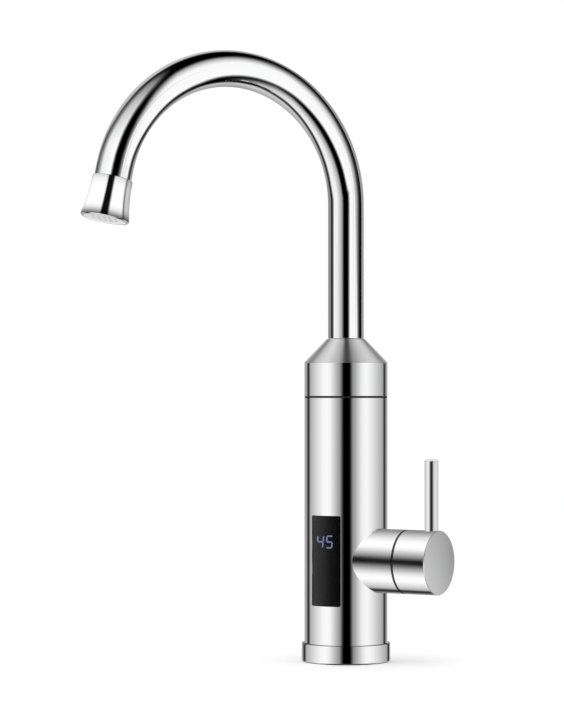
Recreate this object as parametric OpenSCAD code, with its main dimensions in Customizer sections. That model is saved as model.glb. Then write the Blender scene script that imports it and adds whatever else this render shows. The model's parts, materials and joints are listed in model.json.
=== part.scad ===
// Electric instant water heater tap: a swivel spout over a tubular body that
// holds the valve, the flow switch and a small heating chamber.
// Millimetres. +Z is up, the deck is z = 0, the display faces -Y, the handle points along +X.

/* [Body] */
// Outer diameter of the body shell
body_d = 50; // [49:0.5:56]
// Wall of the body shell
body_wall = 0.8; // [0.5:0.1:1.0]
// Height of the shell's top edge above the deck
body_h = 158.4; // [150:1:200]
// Thickness of the base ring's wall around the shell
ring_wall = 1.6; // [1.2:0.1:3]
// Height of the base ring's top edge above the deck
ring_h = 11.4; // [9:0.2:20]
// Thickness of the ring's inner flange, which carries the shell
ring_flange_t = 2; // [1.5:0.1:3]
// Height of the dark seal between shell and collar
seam_h = 0.8; // [0.4:0.1:1.6]
// Height of the collar's straight side
collar_h = 20.6; // [16:0.5:30]
// Height of the collar's cone
cone_h = 14.2; // [11:0.2:18]
// Wall left at the cone's top edge, around the spout
cone_lip = 0.6; // [0.4:0.1:1.2]

/* [Spout] */
// Outer diameter of the spout tube
tube_d = 21.5; // [20:0.5:22]
// Wall of the spout tube
tube_wall = 0.9; // [0.7:0.1:1.2]
// Straight length of the spout above the cone
spout_rise = 80.7; // [40:1:120]
// Radius of the bend, to the tube's centre line
bend_r = 77.4; // [55:0.5:95]
// Angle that the bend turns through
bend_sweep = 167.5; // [150:0.5:180]
// Straight length between the bend and the outlet
end_straight = 7.2; // [4:0.1:20]
// Angle of the spout at rest, from the front towards the left
rest_turn = 29.15; // [-180:0.05:180]

/* [Outlet] */
// Length of the outlet housing
outlet_len = 24; // [20:0.5:30]
// Diameter of the outlet housing where it meets the tube
outlet_top_d = 23.4; // [23.2:0.1:25]
// Diameter of the outlet housing at its rim
outlet_end_d = 28; // [27:0.1:32]
// Length of tube that is screwed into the outlet housing
outlet_grip = 7; // [5:0.5:9]
// Diameter of the aerator insert's body
insert_d = 19.6; // [18:0.1:20.4]
// Diameter of the aerator insert's face
insert_face_d = 24.4; // [23:0.1:24.8]
// Thickness of the aerator insert's face
insert_face_t = 2.4; // [1.6:0.1:3]
// Height of the aerator insert
insert_h = 11; // [8:0.5:12]
// Diameter of each hole in the insert's face
insert_hole_d = 2.4; // [1.6:0.1:2.8]
// Distance between neighbouring holes in the insert's face
insert_pitch = 3.8; // [3.2:0.1:4]

/* [Handle] */
// Diameter of the barrel that carries the handle
barrel_d = 38.2; // [36:0.2:42]
// Height of the handle's axis above the deck
barrel_z = 61.1; // [58:0.5:66]
// Distance from the body's axis to the end of the fixed barrel
barrel_reach = 42.3; // [41:0.1:50]
// Wall of the fixed barrel
barrel_wall = 1.6; // [1.2:0.1:2]
// Gap between the fixed barrel and the handle
barrel_gap = 0.6; // [0.4:0.1:1]
// Length of the turning handle cap
cap_len = 21.2; // [19:0.2:30]
// Depth of the hollow in the handle cap
cap_hollow = 9; // [7:0.5:10]
// Diameter of the lever
lever_d = 8.2; // [7:0.1:10]
// Distance of the lever's axis from the cap's end face
lever_inset = 5.3; // [5.1:0.1:6.5]
// Height of the lever's top above the handle's axis
lever_top = 61; // [40:1:90]
// Diameter of the lever's threaded stud
stud_d = 5; // [4:0.5:6]
// Depth of the seat that the lever stands in, below the cap's side
lever_seat = 1.5; // [1:0.1:3]
// Diameter of the grub screw that holds the cap
grub_d = 5; // [4:0.5:5]
// Length of the grub screw
grub_len = 8; // [6:0.5:12]

/* [Display] */
// Width of the display window
window_w = 20; // [16:0.5:22]
// Height of the display window
window_h = 54; // [46:0.5:60]
// Height of the window's centre above the deck
window_z = 61.4; // [58:0.2:66]
// Radius of the window's corners
window_r = 1; // [0.5:0.1:3]
// Thickness of the lens
lens_t = 1.8; // [1.5:0.1:2.2]
// Width of the lens's lip behind the shell, beside the window
lens_lip = 2; // [1.5:0.1:2.4]
// Height of the digits
digit_h = 8.4; // [6:0.2:10]
// Width of one digit
digit_w = 5; // [4:0.1:5.2]
// Distance between the two digits' centres
digit_pitch = 6.6; // [6.4:0.1:7]
// Width of one bar of a digit
bar_w = 0.9; // [0.5:0.1:1.1]
// Slant of the digits, in degrees
digit_slant = 6; // [0:1:10]
// Height of the digits' centre above the window's centre
digit_rise = 11.3; // [8:0.1:12]
// Thickness of the circuit board
board_t = 1.6; // [1.2:0.1:2]
// Width of the circuit board
board_w = 24; // [22:0.5:25]
// Distance of the board's front from the body's axis
board_y = 19.2; // [19:0.1:19.4]
// Diameter of the board's screws
board_screw_d = 2; // [1.6:0.1:2.2]

/* [Deck fixing] */
// Outer diameter of the shank's G1/2 thread
shank_d = 20.955; // [20.955]
// Length of the shank below the deck
shank_len = 60; // [50:1:90]
// Bore of the shank
shank_bore_d = 12; // [10:0.5:13]
// Length of the shank's free end, for the supply hose
shank_end = 14; // [10:1:18]
// Width of the thread relief above the free end
relief_w = 2; // [1:0.5:3]
// Thickness of the deck that the tap is drawn clamped to
deck_t = 20; // [5:1:28]
// Thickness of the gasket between base and deck
gasket_t = 2; // [1:0.1:3]
// Width of the gasket's ring
gasket_w = 4.6; // [3:0.1:4.8]
// Diameter of the clamp washers under the deck
clamp_d = 48; // [40:1:56]
// Thickness of the rubber clamp washer
clamp_rubber_t = 2; // [1:0.5:4]
// Thickness of the steel clamp washer
clamp_steel_t = 2; // [1:0.5:3]
// Width of the lock nut across its flats
nut_af = 25; // [24:0.5:25]
// Height of the lock nut
nut_h = 8; // [5:0.5:9]
// Thickness of the bottom cover above the ring's flange
cover_t = 4; // [3:0.5:6]
// Width of the shank's hexagon across its flats
hex_af = 22.4; // [22:0.1:22.6]
// Height of the shank's hexagon
hex_h = 3; // [2:0.5:6]
// Diameter of the mains cord that the grommet takes
cord_d = 6.8; // [6:0.1:7]
// Wall of the cord grommet
grommet_wall = 0.9; // [0.7:0.1:1]
// Distance of the cord from the shank's axis
cord_y = 16.6; // [16.5:0.1:16.8]

/* [Valve] */
// Diameter of the valve block's body and side boss
block_d = 27; // [26:0.5:28]
// Depth of the valve block below the handle's axis
block_drop = 19.1; // [18:0.5:24]
// Height of the valve block above the handle's axis
block_rise = 18.9; // [18:0.5:20]
// Diameter of the valve block's top flange
block_top_d = 30.4; // [30:0.1:32]
// Thickness of the valve block's top flange
block_top_t = 5; // [4.5:0.5:5]
// Diameter of the cartridge's bore
cartridge_d = 21; // [20.6:0.1:21.4]
// Depth of the cartridge's bore
cartridge_depth = 15; // [14.5:0.1:16]
// Diameter of the ceramic discs
disc_d = 16.8; // [16:0.1:17]
// Thickness of each ceramic disc
disc_t = 3; // [2.5:0.1:3]
// Thickness of the rubber seal behind the fixed disc
disc_seal_t = 2.8; // [2.5:0.1:3]
// Diameter of each port through the disc and seal
port_d = 4.8; // [4:0.1:5]
// Distance of the hot and cold ports from the handle's axis
port_r = 5.6; // [5.4:0.1:5.6]
// Diameter of the valve spindle
spindle_d = 8; // [7:0.1:8.4]
// Diameter of the spindle's drive flange
drive_d = 16; // [14:0.5:16.4]
// Thickness of the spindle's drive flange
drive_t = 2.8; // [2:0.1:3]
// Width of the spindle's drive key
key_w = 3; // [2:0.5:4]
// Height of the spindle's drive key
key_h = 1.3; // [0.8:0.1:1.5]
// Width of the bonnet's hexagon across its flats
bonnet_af = 24; // [22:0.5:26]
// Height of the bonnet's hexagon
bonnet_hex_h = 4; // [3:0.5:5]
// Diameter of the bonnet's neck around the spindle
bonnet_neck_d = 14; // [12:0.5:15]
// Length of the bonnet's neck
bonnet_neck_h = 4; // [3.8:0.1:5]

/* [Flow switch] */
// Outer diameter of the flow switch body
switch_d = 30; // [29.6:0.1:30]
// Height of the flow switch's lower half
switch_low_h = 4; // [3.6:0.1:6]
// Height of the flow switch's upper half
switch_high_h = 9.2; // [8.6:0.1:10]
// Thickness of the diaphragm
diaphragm_t = 0.8; // [0.6:0.1:1.2]
// Distance of the plunger from the body's axis
plunger_y = 6.6; // [6.4:0.1:6.6]
// Diameter of the plunger
plunger_d = 4; // [3:0.1:4.4]
// Diameter of the plunger's head
plunger_head_d = 7.6; // [7.2:0.1:7.8]
// Thickness of the plunger's head
plunger_head_t = 1.5; // [1.2:0.1:1.6]
// Travel of the plunger
plunger_travel = 2; // [1:0.1:2]
// Wire of the plunger's spring
spring_wire = 0.6; // [0.5:0.05:0.7]
// Turns of the plunger's spring
spring_turns = 4; // [3:1:4]
// Distance of the riser from the body's axis
riser_y = 9.5; // [9.5:0.1:9.8]
// Outer diameter of the riser
riser_d = 9.2; // [8.8:0.1:9.2]
// Bore of the riser
riser_bore_d = 6; // [5:0.1:6.4]

/* [Heating chamber] */
// Outer diameter of the heating chamber
chamber_d = 38; // [36:0.2:38.4]
// Wall of the heating chamber
chamber_wall = 1.8; // [1.2:0.1:2]
// Height of the chamber lid's underside above the deck
lid_z = 110; // [109:0.5:118]
// Thickness of the chamber lid
lid_t = 3; // [3:0.1:4]
// Diameter of the chamber's bolting flange
flange_d = 46.8; // [46.4:0.1:47]
// Thickness of the chamber's bolting flange
flange_t = 5; // [4:0.5:6]
// Diameter of the chamber's outlet neck
neck_d = 16; // [15:0.5:16.5]
// Height of the chamber's outlet neck
neck_h = 5.8; // [5:0.1:6]
// Bore of the chamber's outlet neck
neck_bore_d = 10; // [8:0.5:11]
// Diameter of the heating element's sheath
sheath_d = 5.2; // [4:0.1:5.4]
// Radius of the heating element's coil
coil_r = 11; // [10.6:0.1:11.4]
// Turns of the heating element's coil
coil_turns = 3; // [2:1:3]
// Diameter of the screws that close the chamber and the flow switch
case_screw_d = 3; // [2.5:0.1:3]

/* [Hidden] */

// Radial gap between pieces that are pushed or screwed together
fit = 0.05;
// Radial gap of a running fit
run = 0.08;
// Gap between pieces that move past each other
play = 0.3;
// Water film between the two ceramic discs
film = 0.05;
// How far a cut reaches past the surface that it opens
cut = 1;
// Chamfer on the visible turned edges
edge = 0.4;
$fn = 96;

body_r = body_d / 2;
bore_r = body_r - body_wall;
ring_r = body_r + ring_wall;
// The ring's skirt hangs just clear of the deck, so that the gasket seals first
ring_lift = 0.4;
seat_z = gasket_t + ring_flange_t;
seat_bore_r = bore_r - 2.2;
cover_z = seat_z + cover_t;
gasket_r = ring_r - 1;

collar_z = body_h + seam_h;
cone_z = collar_z + collar_h;
cone_top_z = cone_z + cone_h;
cone_top_r = tube_d / 2 + run + cone_lip;
spigot_r = bore_r - 0.6;
spigot_h = 6.4;
cavity_r = spigot_r - 1.4;

// Spout bearing, from the top of the cone down
glide_t = 2;
glide_z = cone_top_z - 7 - glide_t;
glide_r = tube_d / 2 + 4.6;
drive_flange_r = tube_d / 2 + 2.7;
spout_z = glide_z - play;
spout_flange_t = 3.7;
stem_r = tube_d / 2 - 1.75;
stem_bore_r = 5.5;
stub_h = 8;
bend_z = cone_top_z + spout_rise;
o_ring_r = 0.92;
// How far the adapter's thread lies below its outer face
thread_step = 0.3;

chamber_z = lid_z + lid_t;
chamber_top_z = body_h - 7;
chamber_roof = 3;
neck_z = chamber_top_z + neck_h;
socket_floor_z = neck_z + play;
socket_flange_z = collar_z + 0.8;
socket_flange_t = 3.5;
stem_z = socket_floor_z + 1.5;

block_r = block_d / 2;
block_z = barrel_z - block_drop;
block_top_z = barrel_z + block_rise;
boss_x = body_r + 2;
web_t = 2;
web_x = boss_x + web_t;
seat_x = boss_x - cartridge_depth;
fixed_x = seat_x + disc_seal_t;
moving_x = fixed_x + disc_t + film;
drive_x = moving_x + disc_t + film;
thrust_t = 0.8;
thrust_x = drive_x + drive_t + play;
bonnet_r = cartridge_d / 2 - run;
bonnet_bore_r = disc_d / 2 + 0.2;
bonnet_end_x = web_x + bonnet_hex_h + bonnet_neck_h;

barrel_r = barrel_d / 2;
barrel_bore_r = barrel_r - barrel_wall;
bush_t = 1.6;
bush_in = 4;
bush_out = 4;
cap_x = barrel_reach + barrel_gap;
cap_end_x = cap_x + cap_len;
cap_solid_x = cap_x + cap_hollow;
lever_x = cap_end_x - lever_inset;
lever_seat_r = barrel_r - lever_seat;
spindle_end_x = cap_end_x - 3.6;
grub_x = cap_solid_x + grub_d / 2 + 1.4;
flat_r = spindle_d / 2 - 0.8;

switch_z = block_top_z;
diaphragm_z = switch_z + switch_low_h;
switch_high_z = diaphragm_z + diaphragm_t;
switch_top_z = switch_high_z + switch_high_h;
pocket_r = 6;
pocket_h = 2;
plunger_z = switch_high_z + play;
plunger_seat_z = plunger_z + plunger_head_t;
spring_roof_z = switch_top_z - 2.5;
spring_r = plunger_d / 2 + 0.9 + spring_wire / 2;
spring_well_r = spring_r + spring_wire / 2 + 0.5;
plunger_top_z = switch_top_z + 1.2;
button_z = plunger_top_z + plunger_travel + play;
switch_screw_x = 10.5;
switch_screw_y = 5.5;

micro_w = 12.8;
micro_t = 5.8;
micro_h = 6.5;
micro_z = button_z + 0.7;
micro_y = plunger_y + 3.2;
bracket_t = 1;
micro_screw_d = 2;
foot_len = 4;

lid_screw_n = 6;
lid_screw_r = chamber_d / 2 + 1.9;
head_h = 3;
lead_z = lid_z - 4;
terminal_z = lead_z - 5.5;
chamber_bore_r = chamber_d / 2 - chamber_wall;
seal_w = 1.2;
seal_t = 1.2;
coil_z = chamber_z + 5;
coil_top_z = chamber_top_z - chamber_roof - 6.5;
probe_x = 11;
probe_d = 4;

lens_r = body_r - 0.05;
lens_back_r = lens_r - lens_t;
lens_lip_r = bore_r - fit;
board_h = window_h + 6;
post_x = window_w / 2 - 0.5;
post_z = window_h / 2 - 0.3;
post_d = board_screw_d + 1.4;
board_screw_grip = 1.6;
led_w = 15;
led_h = 12.5;
led_t = 2.2;
digit_t = 0.2;

shank_r = shank_d / 2;
shank_neck_r = shank_r - 1;
shank_grip = 8;
clamp_z = -deck_t;
steel_z = clamp_z - clamp_rubber_t;
nut_z = steel_z - clamp_steel_t;
cord_slot_w = cord_d + 2.4;

// A hollow turned piece standing on z = 0
module sleeve(d_out, d_in, h) {
    difference() {
        cylinder(d = d_out, h = h);
        translate([0, 0, -cut]) cylinder(d = d_in, h = h + 2 * cut);
    }
}

// A turned rod with both ends chamfered, standing on z = 0
module turned_rod(r, h, c) {
    rotate_extrude() polygon([[0, 0], [r - c, 0], [r, c], [r, h - c], [r - c, h], [0, h]]);
}

// A hexagon with two flats square to Y, standing on z = 0
module hexagon(af, h) {
    cylinder(d = af / cos(30), h = h, $fn = 6);
}

// A rubber ring of round section, centred on z = 0
module o_ring(r_middle, r_section) {
    rotate_extrude() translate([r_middle, 0]) circle(r = r_section, $fn = 32);
}

// Turns what stands along Z so that it lies along +X, on the handle's axis
module on_barrel(x) {
    translate([x, 0, barrel_z]) rotate([0, 90, 0]) children();
}

// A rectangle in the XZ plane with rounded corners, thick along Y from y = 0 towards +Y
module rounded_slab(w, h, t, r) {
    translate([0, t, 0]) rotate([90, 0, 0]) linear_extrude(t) {
        square([w - 2 * r, h], center = true);
        square([w, h - 2 * r], center = true);
        for (sx = [-1, 1], sz = [-1, 1]) {
            translate([sx * (w / 2 - r), sz * (h / 2 - r)]) circle(r = r, $fn = 32);
        }
    }
}

// A cheese-head screw: head up from z = 0, shank down from it
module case_screw(d, head, shank) {
    difference() {
        union() {
            cylinder(d = 1.75 * d, h = head);
            translate([0, 0, -shank]) cylinder(d = d, h = shank + cut / 2);
        }
        translate([0, 0, head / 2]) hexagon(0.75 * d, head);
    }
}

// Points and swept tubes, for the heating element and the spring
function unit(v) = v / norm(v);
function helix(r, z, pitch, a) = [r * cos(a), r * sin(a), z + pitch * a / 360];
function bezier(p, q, s, e, t) =
    pow(1 - t, 3) * p + 3 * t * pow(1 - t, 2) * q + 3 * t * t * (1 - t) * s + pow(t, 3) * e;
function tangent(p, i) = unit(p[min(i + 1, len(p) - 1)] - p[max(i - 1, 0)]);
function carried(side, t) = unit(side - (side * t) * t);
function sides(p, i, side) =
    i == len(p) ? [] : let (s = carried(side, tangent(p, i))) concat([s], sides(p, i + 1, s));

// A round tube along the points p, with n sides
module swept(p, r, n, side) {
    s = sides(p, 0, side);
    rings = [
        for (i = [0 : len(p) - 1], k = [0 : n - 1])
            p[i] + r * (cos(360 * k / n) * s[i] + sin(360 * k / n) * cross(tangent(p, i), s[i]))
    ];
    walls = [
        for (i = [0 : len(p) - 2], k = [0 : n - 1])
            let (a = i * n + k, b = i * n + (k + 1) % n)
                each [[a, b + n, b], [a, a + n, b + n]]
    ];
    last = (len(p) - 1) * n;
    ends = [
        for (k = [1 : n - 2]) each [[0, k, k + 1], [last, last + k + 1, last + k]]
    ];
    polyhedron(points = rings, faces = concat(walls, ends));
}

// Base and deck fixing

module base_ring() {
    color("silver") difference() {
        translate([0, 0, ring_lift]) turned_rod(ring_r, ring_h - ring_lift, edge);
        translate([0, 0, seat_z]) cylinder(r = body_r + fit, h = ring_h);
        translate([0, 0, -cut]) cylinder(r = seat_bore_r, h = ring_h);
        translate([0, 0, -cut]) cylinder(r = gasket_r + fit, h = gasket_t + cut);
    }
}

module deck_gasket() {
    color("dimgray") sleeve(2 * gasket_r, 2 * (gasket_r - gasket_w), gasket_t);
}

module bottom_cover() {
    color("dimgray") difference() {
        union() {
            translate([0, 0, gasket_t]) cylinder(r = seat_bore_r - 2 * fit, h = ring_flange_t + cut);
            translate([0, 0, seat_z]) cylinder(r = bore_r - 2 * fit, h = cover_t);
        }
        translate([0, 0, -cut]) cylinder(r = shank_r + fit, h = cover_z + 2 * cut);
        translate([0, cord_y, -cut]) cylinder(r = cord_d / 2 + grommet_wall, h = cover_z + 2 * cut);
    }
}

module threaded_shank() {
    color("goldenrod") difference() {
        union() {
            translate([0, 0, -shank_len]) cylinder(r = shank_r, h = shank_len + cover_z);
            translate([0, 0, cover_z]) hexagon(hex_af, hex_h);
            translate([0, 0, cover_z]) cylinder(r = shank_neck_r, h = block_z + shank_grip - cover_z);
        }
        translate([0, 0, -shank_len - cut]) {
            cylinder(d = shank_bore_d, h = shank_len + block_z + shank_grip + 2 * cut);
        }
        // thread relief, which parts the free end from the clamping thread
        translate([0, 0, shank_end - shank_len]) {
            sleeve(2 * shank_r + 2 * cut, 2 * shank_neck_r, relief_w);
        }
    }
}

module inlet_strainer() {
    strainer_h = 8;
    strainer_wall = 0.8;
    color("white") translate([0, 0, -shank_len]) difference() {
        cylinder(r = shank_bore_d / 2 - fit, h = strainer_h);
        translate([0, 0, -cut]) {
            cylinder(r = shank_bore_d / 2 - strainer_wall, h = strainer_h - strainer_wall + cut);
        }
        for (a = [0 : 60 : 300]) {
            rotate(a) translate([shank_bore_d / 4, 0, 0]) cylinder(d = 2, h = strainer_h + cut);
        }
    }
}

// A clamp washer with a slot that lets the cord past the shank
module slotted_washer(t) {
    difference() {
        cylinder(d = clamp_d, h = t);
        translate([0, 0, -cut]) cylinder(r = shank_r + play, h = t + 2 * cut);
        translate([-cord_slot_w / 2, 0, -cut]) cube([cord_slot_w, clamp_d, t + 2 * cut]);
    }
}

module clamp_rubber() {
    color("black") translate([0, 0, clamp_z - clamp_rubber_t]) slotted_washer(clamp_rubber_t);
}

module clamp_washer() {
    color("silver") translate([0, 0, steel_z - clamp_steel_t]) slotted_washer(clamp_steel_t);
}

module lock_nut() {
    color("goldenrod") translate([0, 0, nut_z - nut_h]) difference() {
        hexagon(nut_af, nut_h);
        translate([0, 0, -cut]) cylinder(r = shank_r + fit, h = nut_h + 2 * cut);
    }
}

module cord_grommet() {
    lip = 1.4;
    color("black") translate([0, cord_y, 0]) difference() {
        union() {
            translate([0, 0, gasket_t]) {
                cylinder(r = cord_d / 2 + grommet_wall - fit, h = cover_z - gasket_t + cut / 2);
            }
            translate([0, 0, cover_z]) cylinder(r = cord_y - hex_af / 2 - play, h = lip);
        }
        cylinder(d = cord_d, h = cover_z + lip + cut);
    }
}

// Body

module body_shell() {
    color("silver") difference() {
        translate([0, 0, seat_z]) sleeve(body_d, 2 * bore_r, body_h - seat_z);
        translate([0, -body_d, window_z]) rounded_slab(window_w, window_h, body_d, window_r);
        on_barrel(0) cylinder(r = block_r + 0.5, h = body_d);
    }
}

module seam_ring() {
    color("black") translate([0, 0, body_h]) sleeve(body_d - 0.4, 2 * (spigot_r + fit), seam_h);
}

module top_collar() {
    slope = (body_r - cone_top_r) / cone_h;
    color("silver") difference() {
        rotate_extrude() polygon([
            [cavity_r, body_h - spigot_h], [spigot_r, body_h - spigot_h], [spigot_r, collar_z],
            [body_r - edge / 2, collar_z], [body_r, collar_z + edge / 2], [body_r, cone_z],
            [cone_top_r + slope * edge, cone_top_z - edge], [cone_top_r, cone_top_z],
            [tube_d / 2 + run, cone_top_z], [tube_d / 2 + run, glide_z + glide_t],
            [glide_r + fit, glide_z + glide_t], [glide_r + fit, cone_z - 4], [cavity_r, cone_z - 4]
        ]);
    }
}

module outlet_socket() {
    skirt_r = neck_d / 2 + 3;
    sleeve_r = stem_r + 3.5;
    color("goldenrod") difference() {
        union() {
            translate([0, 0, chamber_top_z + play]) {
                cylinder(r = skirt_r, h = socket_flange_z - chamber_top_z);
            }
            translate([0, 0, socket_flange_z]) cylinder(r = cavity_r - fit, h = socket_flange_t);
            translate([0, 0, socket_flange_z]) {
                cylinder(r = sleeve_r, h = spout_z - spout_flange_t - play - socket_flange_z);
            }
        }
        translate([0, 0, chamber_top_z]) cylinder(r = neck_d / 2 + fit, h = socket_floor_z - chamber_top_z);
        translate([0, 0, socket_floor_z]) cylinder(r = stem_r + run, h = spout_z);
    }
}

module glide_ring() {
    color("ivory") translate([0, 0, glide_z]) sleeve(2 * glide_r, tube_d + 2 * play, glide_t);
}

// Valve

module valve_block() {
    riser_h = block_rise + cut;
    color("goldenrod") difference() {
        union() {
            translate([0, 0, block_z]) cylinder(r = block_r, h = block_top_z - block_z);
            translate([0, 0, block_top_z - block_top_t]) cylinder(d = block_top_d, h = block_top_t);
            on_barrel(0) cylinder(r = block_r, h = boss_x);
        }
        on_barrel(seat_x) cylinder(d = cartridge_d, h = cartridge_depth + cut);
        translate([0, 0, block_z - cut]) cylinder(r = shank_neck_r + fit, h = shank_grip + cut);
        // inlet, up to the handle's axis and out to the middle port
        translate([0, 0, block_z]) cylinder(d = port_d, h = block_drop);
        on_barrel(0) cylinder(d = port_d, h = seat_x + cut);
        // hot at the back and cold at the front, each from its port and up through the top
        for (side = [-1, 1]) {
            translate([0, side * port_r, 0]) on_barrel(0) cylinder(d = port_d, h = seat_x + cut);
            translate([0, side * port_r, barrel_z]) cylinder(d = port_d, h = riser_h);
        }
        at_switch_screws() translate([0, 0, block_top_z - block_top_t + 0.5]) {
            cylinder(d = case_screw_d + 2 * fit, h = block_top_t + cut);
        }
    }
}

// The three water ports, cut along X from x = 0
module ports(length) {
    for (side = [-1, 0, 1]) {
        translate([0, side * port_r, 0]) cylinder(d = port_d, h = length);
    }
}

module disc_seal() {
    color("dimgray") on_barrel(seat_x) difference() {
        cylinder(r = bonnet_bore_r - 2 * fit, h = disc_seal_t);
        translate([0, 0, -cut]) ports(disc_seal_t + 2 * cut);
    }
}

module fixed_disc() {
    color("white") on_barrel(fixed_x) difference() {
        cylinder(d = disc_d, h = disc_t);
        translate([0, 0, -cut]) ports(disc_t + 2 * cut);
    }
}

// At rest its pocket points down and feeds neither port; a quarter turn takes it to hot or cold
module moving_disc() {
    pocket = 1.5;
    color("white") on_barrel(moving_x) difference() {
        cylinder(d = disc_d, h = disc_t);
        translate([0, 0, -cut]) {
            cylinder(d = port_d, h = pocket + cut);
            translate([port_r, 0, 0]) cylinder(d = port_d, h = pocket + cut);
            translate([0, -port_d / 2, 0]) cube([port_r, port_d, pocket + cut]);
        }
        translate([-disc_d, -key_w / 2 - run, disc_t - key_h - run]) {
            cube([2 * disc_d, key_w + 2 * run, disc_t]);
        }
    }
}

module valve_spindle() {
    key_len = disc_d * 0.9;
    color("goldenrod") on_barrel(0) difference() {
        union() {
            translate([0, 0, drive_x]) cylinder(d = drive_d, h = drive_t);
            translate([0, 0, drive_x]) cylinder(d = spindle_d, h = spindle_end_x - drive_x);
            translate([-key_len / 2, -key_w / 2, drive_x - key_h]) cube([key_len, key_w, key_h + cut / 2]);
        }
        // flat for the grub screw
        translate([flat_r, -spindle_d, cap_solid_x]) cube([spindle_d, 2 * spindle_d, cap_len]);
        translate([0, 0, o_ring_x()]) sleeve(2 * spindle_d, 2 * (spindle_d / 2 - 1.1), 1.5);
    }
}

// Place of the spindle's ring, inside the bonnet's neck
function o_ring_x() = web_x + bonnet_hex_h / 2;

module spindle_o_ring() {
    section = 0.52;
    color("black") on_barrel(o_ring_x() + 0.75) o_ring(spindle_d / 2 + 0.04 - section, section);
}

module thrust_washer() {
    color("white") on_barrel(thrust_x) sleeve(2 * (bonnet_bore_r - 2 * fit), spindle_d + 2 * play, thrust_t);
}

module valve_bonnet() {
    roof_x = thrust_x + thrust_t + 0.05;
    color("goldenrod") on_barrel(0) difference() {
        union() {
            translate([0, 0, seat_x + play]) cylinder(r = bonnet_r, h = web_x - seat_x);
            translate([0, 0, web_x]) hexagon(bonnet_af, bonnet_hex_h);
            translate([0, 0, web_x]) cylinder(d = bonnet_neck_d, h = bonnet_hex_h + bonnet_neck_h);
        }
        translate([0, 0, seat_x]) cylinder(r = bonnet_bore_r, h = roof_x - seat_x);
        translate([0, 0, seat_x]) cylinder(r = spindle_d / 2 + run, h = bonnet_end_x);
        translate([0, 0, bonnet_groove_x()]) sleeve(2 * cartridge_d, 2 * (bonnet_r - 1.1), 1.5);
    }
}

// Place of the ring between bonnet and block
function bonnet_groove_x() = boss_x - 2;

module bonnet_o_ring() {
    section = 0.54;
    color("black") on_barrel(bonnet_groove_x() + 0.75) o_ring(bonnet_r + 0.04 - section, section);
}

module handle_housing() {
    color("silver") difference() {
        on_barrel(0) turned_rod(barrel_r, barrel_reach, edge / 2);
        // its end is cut to lie on the shell
        cylinder(r = body_r + fit, h = body_h);
        on_barrel(0) cylinder(r = barrel_bore_r, h = boss_x);
        on_barrel(web_x) cylinder(r = barrel_bore_r, h = barrel_reach);
        on_barrel(0) cylinder(r = bonnet_r + fit, h = web_x + cut);
    }
}

module handle_bush() {
    color("black") on_barrel(barrel_reach - bush_in) {
        sleeve(2 * (barrel_bore_r - fit), 2 * (barrel_bore_r - bush_t), bush_in + barrel_gap + bush_out);
    }
}

// Handle

module handle_cap() {
    color("silver") difference() {
        on_barrel(cap_x) turned_rod(barrel_r, cap_len, edge);
        on_barrel(0) cylinder(r = barrel_bore_r - fit + run, h = cap_solid_x);
        on_barrel(0) cylinder(r = spindle_d / 2 + fit, h = spindle_end_x + play);
        translate([lever_x, 0, barrel_z + lever_seat_r]) cylinder(r = lever_d / 2 + fit, h = barrel_r);
        translate([lever_x, 0, barrel_z + stud_bottom()]) cylinder(r = stud_d / 2 + fit, h = barrel_r);
        translate([grub_x, 0, barrel_z - barrel_r - cut]) cylinder(r = grub_d / 2 + fit, h = barrel_r + cut);
    }
}

// Height of the lever stud's hole above the handle's axis
function stud_bottom() = spindle_d / 2 + 4;

module lever_rod() {
    color("silver") translate([lever_x, 0, barrel_z]) {
        translate([0, 0, lever_seat_r]) rotate_extrude() polygon(concat(
            [[0, 0], [lever_d / 2, 0]],
            [for (a = [0 : 15 : 90]) [
                lever_d / 2 - lever_tip * (1 - cos(a)), lever_top - lever_seat_r - lever_tip * (1 - sin(a))
            ]],
            [[0, lever_top - lever_seat_r]]
        ));
        translate([0, 0, stud_bottom() + 0.5]) cylinder(d = stud_d, h = lever_seat_r - stud_bottom());
    }
}

// Radius that rounds the lever's top edge
lever_tip = 1.2;

module grub_screw() {
    color("dimgray") translate([grub_x, 0, barrel_z - flat_r - grub_len]) difference() {
        cylinder(d = grub_d, h = grub_len);
        translate([0, 0, -cut]) hexagon(grub_d / 2, grub_len / 3 + cut);
    }
}

// Flow switch

module at_switch_screws() {
    for (sx = [-1, 1], sy = [-1, 1]) translate([sx * switch_screw_x, sy * switch_screw_y, 0]) children();
}

// The well where cold and hot water meet under the riser
module riser_well(z, h) {
    translate([0, -(riser_y + port_r) / 2, z]) cylinder(r = 5, h = h);
}

module switch_base() {
    color("whitesmoke") difference() {
        translate([0, 0, switch_z]) cylinder(d = switch_d, h = switch_low_h);
        for (side = [-1, 1]) {
            translate([0, side * port_r, switch_z - cut]) cylinder(d = port_d, h = switch_low_h + cut);
        }
        translate([0, plunger_y, diaphragm_z - pocket_h]) cylinder(r = pocket_r, h = pocket_h + cut);
        riser_well(diaphragm_z - pocket_h, pocket_h + cut);
        // hot water leaves the pocket under the diaphragm through this narrow channel
        translate([-0.8, -port_r, diaphragm_z - pocket_h]) cube([1.6, plunger_y + port_r, pocket_h / 2]);
        at_switch_screws() translate([0, 0, switch_z - cut]) {
            cylinder(d = case_screw_d + 2 * fit, h = switch_low_h + 2 * cut);
        }
    }
}

module flow_diaphragm() {
    color("dimgray") translate([0, 0, diaphragm_z]) difference() {
        cylinder(r = switch_d / 2 - 0.2, h = diaphragm_t);
        riser_well(-cut, diaphragm_t + 2 * cut);
        at_switch_screws() translate([0, 0, -cut]) {
            cylinder(d = case_screw_d + 2 * fit, h = diaphragm_t + 2 * cut);
        }
    }
}

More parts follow.
